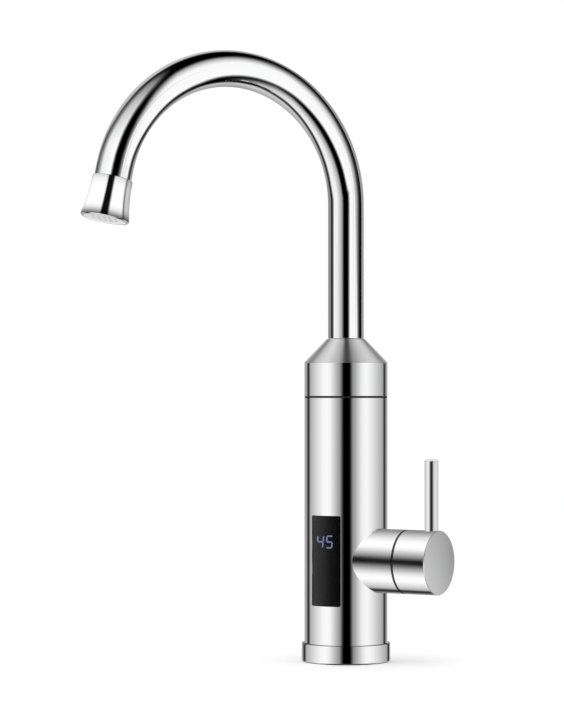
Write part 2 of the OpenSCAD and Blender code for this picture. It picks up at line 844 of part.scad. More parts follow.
module switch_cover() {
    color("whitesmoke") difference() {
        union() {
            translate([0, 0, switch_high_z]) cylinder(d = switch_d, h = switch_high_h);
            translate([0, -riser_y, switch_high_z]) cylinder(d = riser_d, h = chamber_z + 1 - switch_high_z);
        }
        riser_well(switch_high_z - cut, 2 + cut);
        translate([0, -riser_y, switch_high_z]) cylinder(d = riser_bore_d, h = chamber_z);
        translate([0, plunger_y, switch_high_z - cut]) {
            cylinder(r = spring_well_r, h = spring_roof_z - switch_high_z + cut);
            cylinder(r = plunger_d / 2 + run, h = switch_high_h + 2 * cut);
        }
        at_switch_screws() translate([0, 0, switch_high_z - cut]) {
            cylinder(d = case_screw_d + 2 * fit, h = switch_high_h + 2 * cut);
        }
        translate([0, foot_y(), switch_top_z - 5]) cylinder(d = micro_screw_d + 2 * fit, h = 5 + cut);
    }
}

module switch_body_screws() {
    shank = switch_top_z - switch_z + block_top_t - 1;
    color("silver") at_switch_screws() {
        translate([0, 0, switch_top_z]) case_screw(case_screw_d, head_h, shank);
    }
}

module flow_plunger() {
    color("orange") translate([0, plunger_y, plunger_z]) {
        cylinder(d = plunger_head_d, h = plunger_head_t);
        cylinder(d = plunger_d, h = plunger_top_z - plunger_z);
    }
}

module plunger_spring() {
    steps = 16;
    low = plunger_seat_z + spring_wire / 2 + 0.05;
    high = spring_roof_z - spring_wire / 2 - 0.05;
    pitch = (high - low) / spring_turns;
    turn = [for (i = [0 : steps * spring_turns]) helix(spring_r, low, pitch, 360 * i / steps)];
    color("silver") translate([0, plunger_y, 0]) swept(turn, spring_wire / 2, 6, [1, 0, 0]);
    echo(spring_gap = pitch - spring_wire);
}

// Place of the bracket's foot screw
function foot_y() = micro_y + bracket_t + foot_len / 2;

module at_micro_screws() {
    for (side = [-1, 1]) translate([side * micro_w / 4, micro_y, micro_z + micro_screw_d]) children();
}

module micro_screw_holes() {
    at_micro_screws() rotate([90, 0, 0]) {
        cylinder(d = micro_screw_d + 2 * fit, h = 3 * micro_t, center = true);
    }
}

module microswitch() {
    color("black") difference() {
        union() {
            translate([-micro_w / 2, micro_y - micro_t - fit, micro_z]) cube([micro_w, micro_t, micro_h]);
            translate([-1.2, plunger_y - 1, button_z]) cube([2.4, 2, micro_z - button_z + cut / 2]);
            for (x = [-5, 0, 5]) {
                translate([x - 0.6, plunger_y - 0.25, micro_z + micro_h - cut / 2]) cube([1.2, 0.5, 3]);
            }
        }
        micro_screw_holes();
    }
}

module switch_bracket() {
    color("silver") difference() {
        union() {
            translate([-micro_w / 2, micro_y, switch_top_z]) {
                cube([micro_w, bracket_t, micro_z + micro_h - switch_top_z]);
            }
            translate([-micro_w / 4, micro_y, switch_top_z]) {
                cube([micro_w / 2, bracket_t + foot_len, bracket_t]);
            }
        }
        micro_screw_holes();
        translate([0, foot_y(), 0]) cylinder(d = micro_screw_d + 2 * fit, h = lid_z);
    }
}

module microswitch_screws() {
    head = 1.2;
    color("silver") {
        at_micro_screws() translate([0, -micro_t - fit, 0]) rotate([90, 0, 0]) {
            case_screw(micro_screw_d, head, micro_t + bracket_t + 0.6);
        }
        translate([0, foot_y(), switch_top_z + bracket_t]) case_screw(micro_screw_d, head, 4);
    }
}

// Heating chamber

module at_lid_screws() {
    for (i = [0 : lid_screw_n - 1]) {
        rotate(360 * (i + 0.5) / lid_screw_n) translate([lid_screw_r, 0, 0]) children();
    }
}

// The ring of rubber that seals the lid, and the groove that it lies in
module seal_ring(w, t) {
    translate([0, 0, chamber_z - t]) sleeve(2 * (chamber_bore_r + 0.3 + w), 2 * (chamber_bore_r + 0.3), t);
}

module chamber_lid() {
    color("lightgray") difference() {
        translate([0, 0, lid_z]) cylinder(d = flange_d, h = lid_t);
        seal_ring(seal_w, seal_t + 0.01);
        translate([0, -riser_y, 0]) cylinder(r = riser_d / 2 + fit, h = chamber_z + cut);
        for (x = [0, coil_r]) translate([x, 0, 0]) cylinder(r = sheath_d / 2 + fit, h = chamber_z + cut);
        translate([-probe_x, 0, 0]) cylinder(r = probe_d / 2 + fit, h = chamber_z + cut);
        at_lid_screws() cylinder(d = case_screw_d + 2 * fit, h = chamber_z + cut);
    }
}

module chamber_seal() {
    color("dimgray") seal_ring(seal_w - fit, seal_t);
}

module heating_chamber() {
    color("silver") difference() {
        union() {
            translate([0, 0, chamber_z]) cylinder(d = chamber_d, h = chamber_top_z - chamber_z);
            translate([0, 0, chamber_z]) cylinder(d = flange_d, h = flange_t);
            translate([0, 0, chamber_top_z - cut]) cylinder(d = neck_d, h = neck_h + cut);
            // pad for the thermal cutout
            translate([-cutout_x(), -pad_w / 2, cutout_z()]) cube([chamber_d / 4, pad_w, pad_h]);
        }
        translate([0, 0, chamber_z - cut]) {
            cylinder(r = chamber_bore_r, h = chamber_top_z - chamber_roof - chamber_z + cut);
            cylinder(d = neck_bore_d, h = neck_z - chamber_z + 2 * cut);
        }
        at_lid_screws() translate([0, 0, chamber_z - cut]) {
            cylinder(d = case_screw_d + 2 * fit, h = flange_t + 2 * cut);
        }
        translate([0, 0, neck_z - 3]) sleeve(3 * neck_d, neck_d - 2, 1.5);
    }
}

module neck_o_ring() {
    section = 0.5;
    color("black") translate([0, 0, neck_z - 2.25]) o_ring(neck_d / 2 + 0.03 - section, section);
}

module lid_screws() {
    color("silver") at_lid_screws() translate([0, 0, lid_z]) mirror([0, 0, 1]) {
        case_screw(case_screw_d, head_h, lid_t + flange_t - 0.5);
    }
}

// Up one leg, round the coil, then over and down the middle
module heating_element() {
    steps = 18;
    pitch = (coil_top_z - coil_z) / coil_turns;
    first = 30;
    last = 360 * coil_turns;
    start = helix(coil_r, coil_z, pitch, first);
    finish = helix(coil_r, coil_z, pitch, last);
    route = concat(
        [[coil_r, 0, lead_z], [coil_r, 0, chamber_z]],
        [for (t = [0 : 0.2 : 0.8])
            bezier([coil_r, 0, chamber_z + 1], [coil_r, 0, coil_z], start - [-1.2, 2.4, 0], start, t)],
        [for (a = [first : 360 / steps : last - 1]) helix(coil_r, coil_z, pitch, a)],
        [for (t = [0 : 0.125 : 0.9])
            bezier(finish, finish + [0, 5, 0.6], [0, 0, coil_top_z + 3], [0, 0, coil_top_z - 6], t)],
        [[0, 0, coil_top_z - 6], [0, 0, lead_z]]
    );
    color("gray") swept(route, sheath_d / 2, 8, [1, 0, 0]);
}

module element_terminals() {
    nut = 1.8;
    color("silver") for (x = [0, coil_r]) translate([x, 0, terminal_z]) {
        cylinder(d = 2.4, h = lead_z - terminal_z);
        translate([0, 0, nut]) hexagon(4.4, nut);
    }
}

module temperature_probe() {
    tip = 2;
    color("gold") translate([-probe_x, 0, lid_z]) {
        translate([0, 0, -3]) hexagon(7, 3);
        translate([0, 0, -cut]) cylinder(d = probe_d, h = lid_t + tip + cut);
        translate([0, 0, -6]) cylinder(d = 2.4, h = 4);
    }
}

// The flat pad on the chamber's side, where the cutout is clipped
cutout_rise = 6;
pad_w = 10;
pad_h = 14;
// The cutout's own sizes: it is a little smaller than its pad, and has two blades on top
cutout_t = 3.6;
cutout_w = 9;
cutout_h = 13;
blade_w = 1.5;
blade_t = 0.5;
blade_h = 4;
blade_in = 1.5;

function cutout_x() = chamber_d / 2 + 0.3;
function cutout_z() = chamber_z + flange_t + cutout_rise;

module thermal_cutout() {
    color("black") translate([-cutout_x() - cutout_t, -cutout_w / 2, cutout_z() + (pad_h - cutout_h) / 2]) {
        cube([cutout_t, cutout_w, cutout_h]);
        for (y = [blade_in, cutout_w - blade_in - blade_w]) {
            translate([blade_in, y, cutout_h - cut]) cube([blade_t, blade_w, blade_h + cut]);
        }
    }
}

// Display

module display_window() {
    lip_w = window_w + 2 * lens_lip;
    lip_h = window_h + 2 * lens_lip;
    color("black") difference() {
        union() {
            intersection() {
                translate([0, 0, seat_z]) sleeve(2 * lens_r, 2 * lens_back_r, body_h);
                translate([0, -body_d, window_z]) {
                    rounded_slab(window_w - 4 * fit, window_h - 4 * fit, body_d, window_r - fit);
                }
            }
            intersection() {
                translate([0, 0, seat_z]) sleeve(2 * lens_lip_r, 2 * lens_back_r, body_h);
                translate([0, -body_d, window_z]) rounded_slab(lip_w, lip_h, body_d, window_r);
            }
            intersection() {
                cylinder(r = lens_lip_r - 0.2, h = body_h);
                at_posts(-board_y) rotate([90, 0, 0]) cylinder(d = post_d, h = body_d);
            }
        }
        at_posts(-board_y) rotate([90, 0, 0]) translate([0, 0, -cut]) {
            cylinder(d = board_screw_d + 2 * fit, h = board_screw_grip + 0.2 + cut);
        }
    }
}

// The four posts that carry the circuit board
module at_posts(y) {
    for (sx = [-1, 1], sz = [-1, 1]) translate([sx * post_x, y, window_z + sz * post_z]) children();
}

module display_board() {
    color("darkgreen") difference() {
        translate([-board_w / 2, -board_y, window_z - board_h / 2]) cube([board_w, board_t, board_h]);
        at_posts(-board_y) rotate([90, 0, 0]) {
            cylinder(d = board_screw_d + 2 * fit, h = 4 * board_t, center = true);
        }
    }
}

module board_screws() {
    head = 1.2;
    color("silver") at_posts(board_t - board_y) rotate([-90, 0, 0]) {
        case_screw(board_screw_d, head, board_t + board_screw_grip);
    }
}

// Three chips on the board's back, at these heights from the window's centre
chip_w = 8;
chip_t = 1.4;
chip_low_z = -18;
chip_mid_z = -4;
chip_high_z = 20;

module board_chips() {
    color("black") for (z = [chip_low_z, chip_mid_z, chip_high_z]) {
        translate([-chip_w / 2, board_t - board_y, window_z + z - chip_w / 2]) {
            cube([chip_w, chip_t, chip_w]);
        }
    }
}

module led_module() {
    color("dimgray") translate([-led_w / 2, -board_y - led_t, window_z + digit_rise - led_h / 2]) {
        cube([led_w, led_t, led_h]);
    }
}

// Which of the seven bars are lit: top, upper right, lower right, bottom, lower left, upper left, middle
LIT = [[0, 1, 1, 0, 0, 1, 1], [1, 0, 1, 1, 0, 1, 1]];

// Leans a point of a digit over by the slant
function leaned(p) = [p[0] + p[1] * tan(digit_slant), p[1]];

// One bar with pointed ends, centred on x, z
module bar(x, z, length, upright) {
    h = length / 2;
    w = bar_w / 2;
    outline = [[-h, 0], [w - h, w], [h - w, w], [h, 0], [h - w, -w], [w - h, -w]];
    polygon([for (p = outline) leaned(upright ? [x - p[1], z + p[0]] : [x + p[0], z + p[1]])]);
}

module digit(lit) {
    half_w = (digit_w - bar_w) / 2;
    half_h = (digit_h - bar_w) / 2;
    across = 2 * half_w - 0.25;
    up = half_h - 0.25;
    if (lit[0] == 1) bar(0, half_h, across, false);
    if (lit[1] == 1) bar(half_w, half_h / 2, up, true);
    if (lit[2] == 1) bar(half_w, -half_h / 2, up, true);
    if (lit[3] == 1) bar(0, -half_h, across, false);
    if (lit[4] == 1) bar(-half_w, -half_h / 2, up, true);
    if (lit[5] == 1) bar(-half_w, half_h / 2, up, true);
    if (lit[6] == 1) bar(0, 0, across, false);
}

module led_digits() {
    color("lightskyblue") translate([0, -board_y - led_t, window_z + digit_rise]) rotate([90, 0, 0]) {
        linear_extrude(digit_t) for (i = [0, 1]) {
            translate([(i - 0.5) * digit_pitch, 0]) digit(LIT[i]);
        }
    }
}

// Spout

// Moves to the spout's plane: +X along the spout, at rest turned towards the front
module in_spout() {
    rotate(270 - rest_turn) children();
}

// Moves to the tube's free end, with +Z along the water's way out
module at_outlet() {
    in_spout() translate([bend_r, 0, bend_z]) rotate([0, bend_sweep, 0]) {
        translate([-bend_r, 0, end_straight]) children();
    }
}

module spout_tube() {
    bore_d = tube_d - 2 * tube_wall;
    color("silver") {
        in_spout() rotate(180) translate([0, 0, spout_z]) sleeve(tube_d, bore_d, bend_z - spout_z);
        in_spout() translate([bend_r, 0, bend_z]) rotate([-90, 0, 0]) rotate(180) {
            rotate_extrude(angle = bend_sweep) translate([bend_r, 0]) difference() {
                circle(d = tube_d);
                circle(d = bore_d);
            }
        }
    }
}

// The turned end piece, brazed on, whose thread carries the outlet housing
module outlet_adapter() {
    color("silver") at_outlet() difference() {
        union() {
            translate([0, 0, -end_straight]) cylinder(d = tube_d, h = end_straight);
            translate([0, 0, -cut]) cylinder(r = tube_d / 2 - thread_step, h = outlet_grip + cut - play);
        }
        translate([0, 0, -end_straight - cut]) {
            cylinder(r = tube_d / 2 - tube_wall - thread_step, h = end_straight + outlet_grip + 2 * cut);
        }
    }
}

module spout_ferrule() {
    color("goldenrod") difference() {
        union() {
            translate([0, 0, stem_z]) cylinder(r = stem_r, h = spout_z - stem_z);
            translate([0, 0, spout_z - spout_flange_t]) cylinder(r = drive_flange_r, h = spout_flange_t);
            translate([0, 0, spout_z - cut]) cylinder(r = tube_d / 2 - tube_wall - fit, h = stub_h + cut);
        }
        translate([0, 0, stem_z - cut]) cylinder(r = stem_bore_r, h = spout_z + stub_h);
        for (z = o_ring_z()) translate([0, 0, z - 1.15]) {
            sleeve(3 * stem_r, 2 * (stem_r + 0.05 - 2 * o_ring_r - 0.05), 2.3);
        }
    }
}

// Heights of the two rings on the spout's stem
ring_rise = 4;
ring_pitch = 6;
function o_ring_z() = [stem_z + ring_rise, stem_z + ring_rise + ring_pitch];

module spout_o_rings() {
    color("black") for (z = o_ring_z()) translate([0, 0, z]) o_ring(stem_r + 0.05 - o_ring_r, o_ring_r);
}

// The flare of the outlet housing: it opens faster towards the rim
function flare(t) = outlet_top_d / 2 + (outlet_end_d - outlet_top_d) / 2 * t * t;

module outlet_housing() {
    rim = 1.6;
    grip_r = tube_d / 2 - thread_step + fit;
    face_r = insert_face_d / 2 + fit;
    seat_r = insert_d / 2 + fit;
    stop_r = insert_d / 2 - 1.2;
    face_z = outlet_len - face_inset - insert_face_t;
    color("silver") at_outlet() rotate_extrude() polygon(concat(
        [[grip_r, 0], [outlet_top_d / 2 - edge / 2, 0]],
        [for (i = [0 : 10]) [flare(i / 10), edge / 2 + (outlet_len - rim - edge / 2) * i / 10]],
        [
            [outlet_end_d / 2, outlet_len - edge], [outlet_end_d / 2 - edge, outlet_len],
            [face_r, outlet_len], [face_r, face_z], [seat_r, face_z], [seat_r, washer_z()],
            [stop_r, washer_z()], [stop_r, outlet_grip], [grip_r, outlet_grip]
        ]
    ));
}

// How far the insert's face lies inside the rim, and the washer above the insert
face_inset = 0.4;
washer_t = 1.2;
function washer_z() = outlet_len - face_inset - insert_h - washer_t;

module outlet_washer() {
    color("black") at_outlet() translate([0, 0, washer_z()]) {
        sleeve(insert_d - 2 * fit, insert_d - 5, washer_t);
    }
}

// Face of the insert: rings of holes on a triangular grid
module aerator_insert() {
    wall = 1.4;
    color("whitesmoke") at_outlet() translate([0, 0, washer_z() + washer_t]) difference() {
        union() {
            cylinder(d = insert_d, h = insert_h);
            translate([0, 0, insert_h - insert_face_t]) cylinder(d = insert_face_d, h = insert_face_t);
        }
        translate([0, 0, -cut]) cylinder(d = insert_d - 2 * wall, h = insert_h - insert_face_t + cut);
        for (i = [-2 : 2], j = [-2 : 2]) if (abs(i + j) <= 2) {
            translate([insert_pitch * (i + j / 2), insert_pitch * j * sin(60), 0]) {
                cylinder(d = insert_hole_d, h = insert_h + cut);
            }
        }
    }
}

base_ring();
body_shell();
seam_ring();
top_collar();
bottom_cover();
threaded_shank();
inlet_strainer();
deck_gasket();
clamp_rubber();
clamp_washer();
lock_nut();
cord_grommet();
valve_block();
handle_housing();
handle_bush();
valve_bonnet();
bonnet_o_ring();
disc_seal();
fixed_disc();
thrust_washer();
switch_base();
flow_diaphragm();
switch_cover();
switch_body_screws();
microswitch();
switch_bracket();
microswitch_screws();
chamber_lid();
chamber_seal();
heating_chamber();
lid_screws();
heating_element();
element_terminals();
temperature_probe();
thermal_cutout();
neck_o_ring();
outlet_socket();
glide_ring();
display_window();
display_board();
board_screws();
board_chips();
led_module();
led_digits();
spout_tube();
outlet_adapter();
spout_ferrule();
spout_o_rings();
outlet_housing();
outlet_washer();
aerator_insert();
handle_cap();
lever_rod();
grub_screw();
valve_spindle();
spindle_o_ring();
moving_disc();
flow_plunger();
plunger_spring();
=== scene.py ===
# %% [markdown]
# # An electric instant water heater tap
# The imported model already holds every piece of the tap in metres, so this lesson only
# dresses it: a studio, a camera, finishes, and finer pieces where the plain solids would
# look too simple.

# %% Load the frame
import json
import math

import bmesh
import bpy
import numpy as np
from mathutils import Matrix, Vector

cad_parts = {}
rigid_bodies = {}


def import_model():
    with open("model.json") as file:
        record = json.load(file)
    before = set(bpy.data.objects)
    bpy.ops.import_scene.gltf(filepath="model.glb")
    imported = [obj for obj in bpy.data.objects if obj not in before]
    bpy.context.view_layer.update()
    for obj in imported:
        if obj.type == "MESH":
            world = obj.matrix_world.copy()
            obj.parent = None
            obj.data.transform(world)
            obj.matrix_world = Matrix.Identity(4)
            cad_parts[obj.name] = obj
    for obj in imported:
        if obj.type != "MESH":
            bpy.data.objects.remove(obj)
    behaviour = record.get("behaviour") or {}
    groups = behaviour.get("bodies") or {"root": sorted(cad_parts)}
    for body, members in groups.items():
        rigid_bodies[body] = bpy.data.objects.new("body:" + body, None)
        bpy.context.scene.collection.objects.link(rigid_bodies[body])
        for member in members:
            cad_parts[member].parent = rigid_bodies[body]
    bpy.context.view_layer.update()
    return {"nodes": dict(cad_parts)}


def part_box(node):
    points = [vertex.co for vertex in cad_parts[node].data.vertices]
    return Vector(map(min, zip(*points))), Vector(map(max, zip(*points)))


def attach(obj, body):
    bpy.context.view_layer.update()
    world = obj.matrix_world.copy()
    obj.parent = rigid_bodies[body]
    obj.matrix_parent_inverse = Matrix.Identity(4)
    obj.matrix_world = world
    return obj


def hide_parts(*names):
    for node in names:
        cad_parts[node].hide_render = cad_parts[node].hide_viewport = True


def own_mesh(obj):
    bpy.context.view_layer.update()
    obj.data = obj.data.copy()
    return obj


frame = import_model()
nodes = frame["nodes"]

# %% [markdown]
# ## Sizes that everything shares
# The camera, the lights and the finer pieces all need a few sizes of the tap, such as
# where the spout bends.

# %% Sizes of the tap, in metres
MM = 0.001
BODY_R = 0.025
TUBE_R = 0.01075
BEND_R = 0.0774
BEND_Z = 0.2747
SWEEP_DEG = 167.5
BEND_SWEEP = math.radians(SWEEP_DEG)
SPOUT_TURN = math.radians(29.15)
REACH = np.array([-math.sin(SPOUT_TURN), -math.cos(SPOUT_TURN), 0.0])
UP = np.array([0.0, 0.0, 1.0])
BARREL_Z = 0.0611
spout_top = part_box("spout_tube")[1].z
print("spout's top, drawn and measured:", BEND_Z + BEND_R + TUBE_R, round(spout_top, 5))

# %% [markdown]
# ## The camera
# A long lens, far away and level, keeps the tall tap upright. The lens is shifted
# upwards instead of tilting the camera, which is what an architect's camera does, so
# that upright lines stay upright.

# %% Camera
CAM_TURN = math.radians(32.24)
CAM_FAR = 1.5663
CAM_SIDE = 0.0385
CAM_UP = 0.159
LONG_SIDE = 705
FOCAL_PX = 2600
HORIZON_PX = 397
SENSOR = 36
FORWARD = np.array([-math.sin(CAM_TURN), math.cos(CAM_TURN), 0.0])
RIGHT = np.array([math.cos(CAM_TURN), math.sin(CAM_TURN), 0.0])
CAM_AT = -CAM_FAR * FORWARD - CAM_SIDE * RIGHT + CAM_UP * UP

camera = bpy.data.objects.new("camera", bpy.data.cameras.new("camera"))
bpy.context.scene.collection.objects.link(camera)
camera.location = CAM_AT
camera.rotation_euler = (math.pi / 2, 0, CAM_TURN)
camera.data.sensor_width = SENSOR
camera.data.lens = SENSOR * FOCAL_PX / LONG_SIDE
camera.data.shift_y = (HORIZON_PX - LONG_SIDE / 2) / LONG_SIDE
camera.data.clip_end = 20
bpy.context.scene.camera = camera
print("lens in mm:", round(camera.data.lens, 1), "shift:", round(camera.data.shift_y, 4))

# %% [markdown]
# ## Shader maths as Python
# A material is a graph of nodes. Wired by hand, a sum of three masks takes a page, so one
# small class wraps a socket and lets Python's own operators add the Math nodes. Colours
# and vectors go through Mix and Vector Math, because a Math node turns a colour grey.


# %% A socket that can be added and multiplied
class Val:
    """A socket of a node, and sums and products of such sockets."""

    def __init__(self, tree, socket):
        self.tree, self.socket = tree, socket

    def math(self, operation, *others):
        values = dict(enumerate((self, *others)))
        return make(self.tree, "ShaderNodeMath", {"operation": operation}, values)["Value"]

    def __add__(self, other):
        return self.math("ADD", other)

    def __sub__(self, other):
        return self.math("SUBTRACT", other)

    def __rsub__(self, other):
        return (self * -1.0) + other

    def __mul__(self, other):
        return self.math("MULTIPLY", other)

    def __pow__(self, other):
        return self.math("POWER", other)

    __radd__ = __add__
    __rmul__ = __mul__

    def step(self, low, high):
        """0 below low, 1 above high, smooth between."""
        return make(
            self.tree, "ShaderNodeMapRange", {"interpolation_type": "SMOOTHSTEP"},
            {"Value": self, "From Min": low, "From Max": high},
        )["Result"]


def put(tree, socket, value):
    """Links a Val to a socket, or sets the socket's own value."""
    if isinstance(value, Val):
        tree.links.new(value.socket, socket)
    else:
        socket.default_value = value


def make(tree, kind, settings=None, values=None):
    """Adds a node: its settings first, then its sockets. Gives back its outputs by name."""
    node = tree.nodes.new(kind)
    for key, value in (settings or {}).items():
        setattr(node, key, value)
    for key, value in (values or {}).items():
        put(tree, node.inputs[key], value)
    return {s.name: Val(tree, s) for s in node.outputs if s.enabled}


# %% [markdown]
# ## The studio: world, floor and lamp
# The picture is a cut-out on pure white, so whatever the camera, a mirror or a glass sees
# past the tap is white at strength 1. The same even light falls on the tap, at the level
# where a colour shows as it is written. One large lamp above adds a little direction.

# %% World
WORLD_LIGHT = 0.92
world = bpy.data.worlds.new("studio")
bpy.context.scene.world = world
world.use_nodes = True
tree = world.node_tree
tree.nodes.clear()
path = make(tree, "ShaderNodeLightPath")
seen = path["Is Camera Ray"].math("MAXIMUM", path["Is Glossy Ray"])
seen = seen.math("MAXIMUM", path["Is Transmission Ray"])
strength = seen * (1 - WORLD_LIGHT) + WORLD_LIGHT
backdrop = make(tree, "ShaderNodeBackground", {}, {"Color": (1, 1, 1, 1), "Strength": strength})
make(tree, "ShaderNodeOutputWorld", {}, {"Surface": backdrop["Background"]})

bpy.context.scene.view_settings.view_transform = "Standard"
print("world: light", WORLD_LIGHT, "on the tap, and 1.0 where it is seen")

# %% Floor
FLOOR_SIZE = 6.0
FLOOR_WHITE = 0.88
FLOOR_GLOW = 0.2


def new_object(name, mesh, material=None):
    """Puts a mesh or a lamp in the scene."""
    thing = bpy.data.objects.new(name, mesh)
    bpy.context.scene.collection.objects.link(thing)
    if material:
        mesh.materials.append(material)
    return thing


def mesh_from(name, verts, faces, smooth=True):
    """A mesh from points and faces, shaded smooth or flat."""
    mesh = bpy.data.meshes.new(name)
    mesh.from_pydata([tuple(map(float, v)) for v in verts], [], faces)
    mesh.polygons.foreach_set("use_smooth", [smooth] * len(mesh.polygons))
    mesh.update()
    return mesh


def blank_material(name):
    """A material without nodes, and its tree."""
    material = bpy.data.materials.new(name)
    material.use_nodes = True
    material.node_tree.nodes.clear()
    return material, material.node_tree


floor_white, tree = blank_material("floor_white")
diffuse = make(tree, "ShaderNodeBsdfDiffuse", {}, {"Color": (FLOOR_WHITE, FLOOR_WHITE, FLOOR_WHITE, 1)})
glow = make(tree, "ShaderNodeEmission", {}, {"Color": (1, 1, 1, 1), "Strength": FLOOR_GLOW})
both = make(tree, "ShaderNodeAddShader", {}, {0: diffuse["BSDF"], 1: glow["Emission"]})
make(tree, "ShaderNodeOutputMaterial", {}, {"Surface": both["Shader"]})
h = FLOOR_SIZE / 2
floor_corners = [(-h, -h, 0), (h, -h, 0), (h, h, 0), (-h, h, 0)]
floor = new_object("floor", mesh_from("floor", floor_corners, [(0, 1, 2, 3)], False), floor_white)
floor.visible_glossy = False
print("floor:", FLOOR_SIZE, "m square")

# %% Lamp
LAMP_AT = (0.5, -0.9, 2.4)
LAMP_AIM = (0, 0, 0.12)
LAMP_WIDE = 2.0
LAMP_WATTS = 8.0
lamp = bpy.data.lights.new("lamp_top", "AREA")
lamp.shape = "DISK"
lamp.size, lamp.energy = LAMP_WIDE, LAMP_WATTS
lamp_top = new_object("lamp_top", lamp)
lamp_top.location = LAMP_AT
lamp_top.rotation_euler = (Vector(LAMP_AIM) - Vector(LAMP_AT)).to_track_quat("-Z", "Y").to_euler()
lamp_top.visible_glossy = False
print("lamp:", LAMP_WATTS, "W,", LAMP_WIDE, "m across,", round(math.dist(LAMP_AT, LAMP_AIM), 2), "m away")

# %% [markdown]
# ## What the chrome mirrors
# Chrome has no colour of its own: all that one sees is the studio. A photographer hangs
# white cloths and black flags round a tap until every curve carries clean stripes. Here
# they are one big dome that only mirrors see, painted point by point. For a point of the
# dome the law of reflection gives the surface direction that sends it to the camera: the
# half vector. On the spout that direction tells how far round the bend it lies and how
# far across the tube, so the stripes can be laid along the tube as they are wanted.

# %% From a direction in the studio to a place on the spout
# Light that comes out nearly level is from the straight upright tube. LEVEL_DROP says how far
# below the bend, in metres, by the light's rise in degrees. It fades out by LEVEL_BEND radians.
ROUNDS = 4
LEVEL_DROP = ((-4, 0), (1.28, 0.0807), (4.2, 0))
LEVEL_BEND = 0.2


def between(x, *knots):
    """Straight lines through (x, value) knots."""
    xs, ys = zip(*knots)
    return np.interp(x, xs, ys)


def unit(v):
    return v / np.linalg.norm(v, axis=-1, keepdims=True)


def half_vector(out, view):
    """Where a mirror faces that sends light from direction out along view."""
    return unit(out - view)


def bend_middle(bend):
    """Points of the spout's centre line at these bend angles."""
    centre = BEND_R * REACH + BEND_Z * UP
    return centre + BEND_R * (-np.cos(bend)[:, None] * REACH + np.sin(bend)[:, None] * UP)


def place_on_tube(out):
    """The bend angle in degrees, and the place across the tube, from -1 inside to 1 outside.

    The view depends a little on the place, so it is worked out in rounds.
    """
    view = np.tile(FORWARD, (len(out), 1))
    rise = np.degrees(np.arcsin(out[:, 2]))
    lower = between(rise, *LEVEL_DROP)[:, None] * UP
    for _ in range(ROUNDS):
        n = half_vector(out, view)
        bend = np.arctan2(-n[:, 2], n @ REACH)
        bend = np.where(bend < 0, bend + np.pi, bend)
        past = np.clip((bend - BEND_SWEEP) / (np.pi - BEND_SWEEP), 0, 1)[:, None]
        level_end = np.clip(1 - bend / LEVEL_BEND, 0, 1)[:, None]
        middle = bend_middle(np.minimum(bend, BEND_SWEEP)) * (1 - past) + bend_middle(bend * 0) * past
        middle = middle - lower * np.maximum(level_end, past)
        view = unit(middle - CAM_AT)
    along = np.sin(bend)[:, None] * REACH + np.cos(bend)[:, None] * UP
    outward = -np.cos(bend)[:, None] * REACH + np.sin(bend)[:, None] * UP
    flat = unit(along - np.sum(along * view, axis=1)[:, None] * view)
    across = np.cross(flat, view)
    across *= np.sign(np.sum(across * outward, axis=1))[:, None]
    return np.degrees(bend), np.sum(n * across, axis=1)


place = place_on_tube(unit(0.3 * UP - FORWARD)[None])
print("light towards the lens and a little up: bend and place", [round(float(v[0]), 2) for v in place])

# %% [markdown]
# The stripes are drawn like a tailor's pattern: a list of marks across the tube, each with
# its place and its brightness, and both may wander with the bend angle. The first
# black flag lies down the middle of the upright tube and slips off the inner edge
# at the top of the bend. The second comes in over the outer edge there, and runs down to
# the outlet. White cloths fill the rest, and each edge ends in a thin line and a grey rim.

# %% How stripes are drawn
MARK_GAP = 0.004


def ramped(s, marks):
    """Straight lines through marks of (place, value), where both are arrays."""
    value = marks[0][1] + 0 * s
    place = marks[0][0] + 0 * s
    for (_, before), (at, after) in zip(marks, marks[1:]):
        at = np.maximum(at, place + MARK_GAP)
        value = value + (after - before) * np.clip((s - place) / (at - place), 0, 1)
        place = at
    return value


def smooth(x, low, high):
    """0 below low, 1 above high, smooth between."""
    t = np.clip((x - low) / (high - low), 0, 1)
    return t * t * (3 - 2 * t)


print("half way up a ramp:", ramped(np.array([0.5]), [(0.0, 0.0), (1.0, 1.0)]))

# %% The inner edge and the inner cloth
INNER_RIM = 0.09


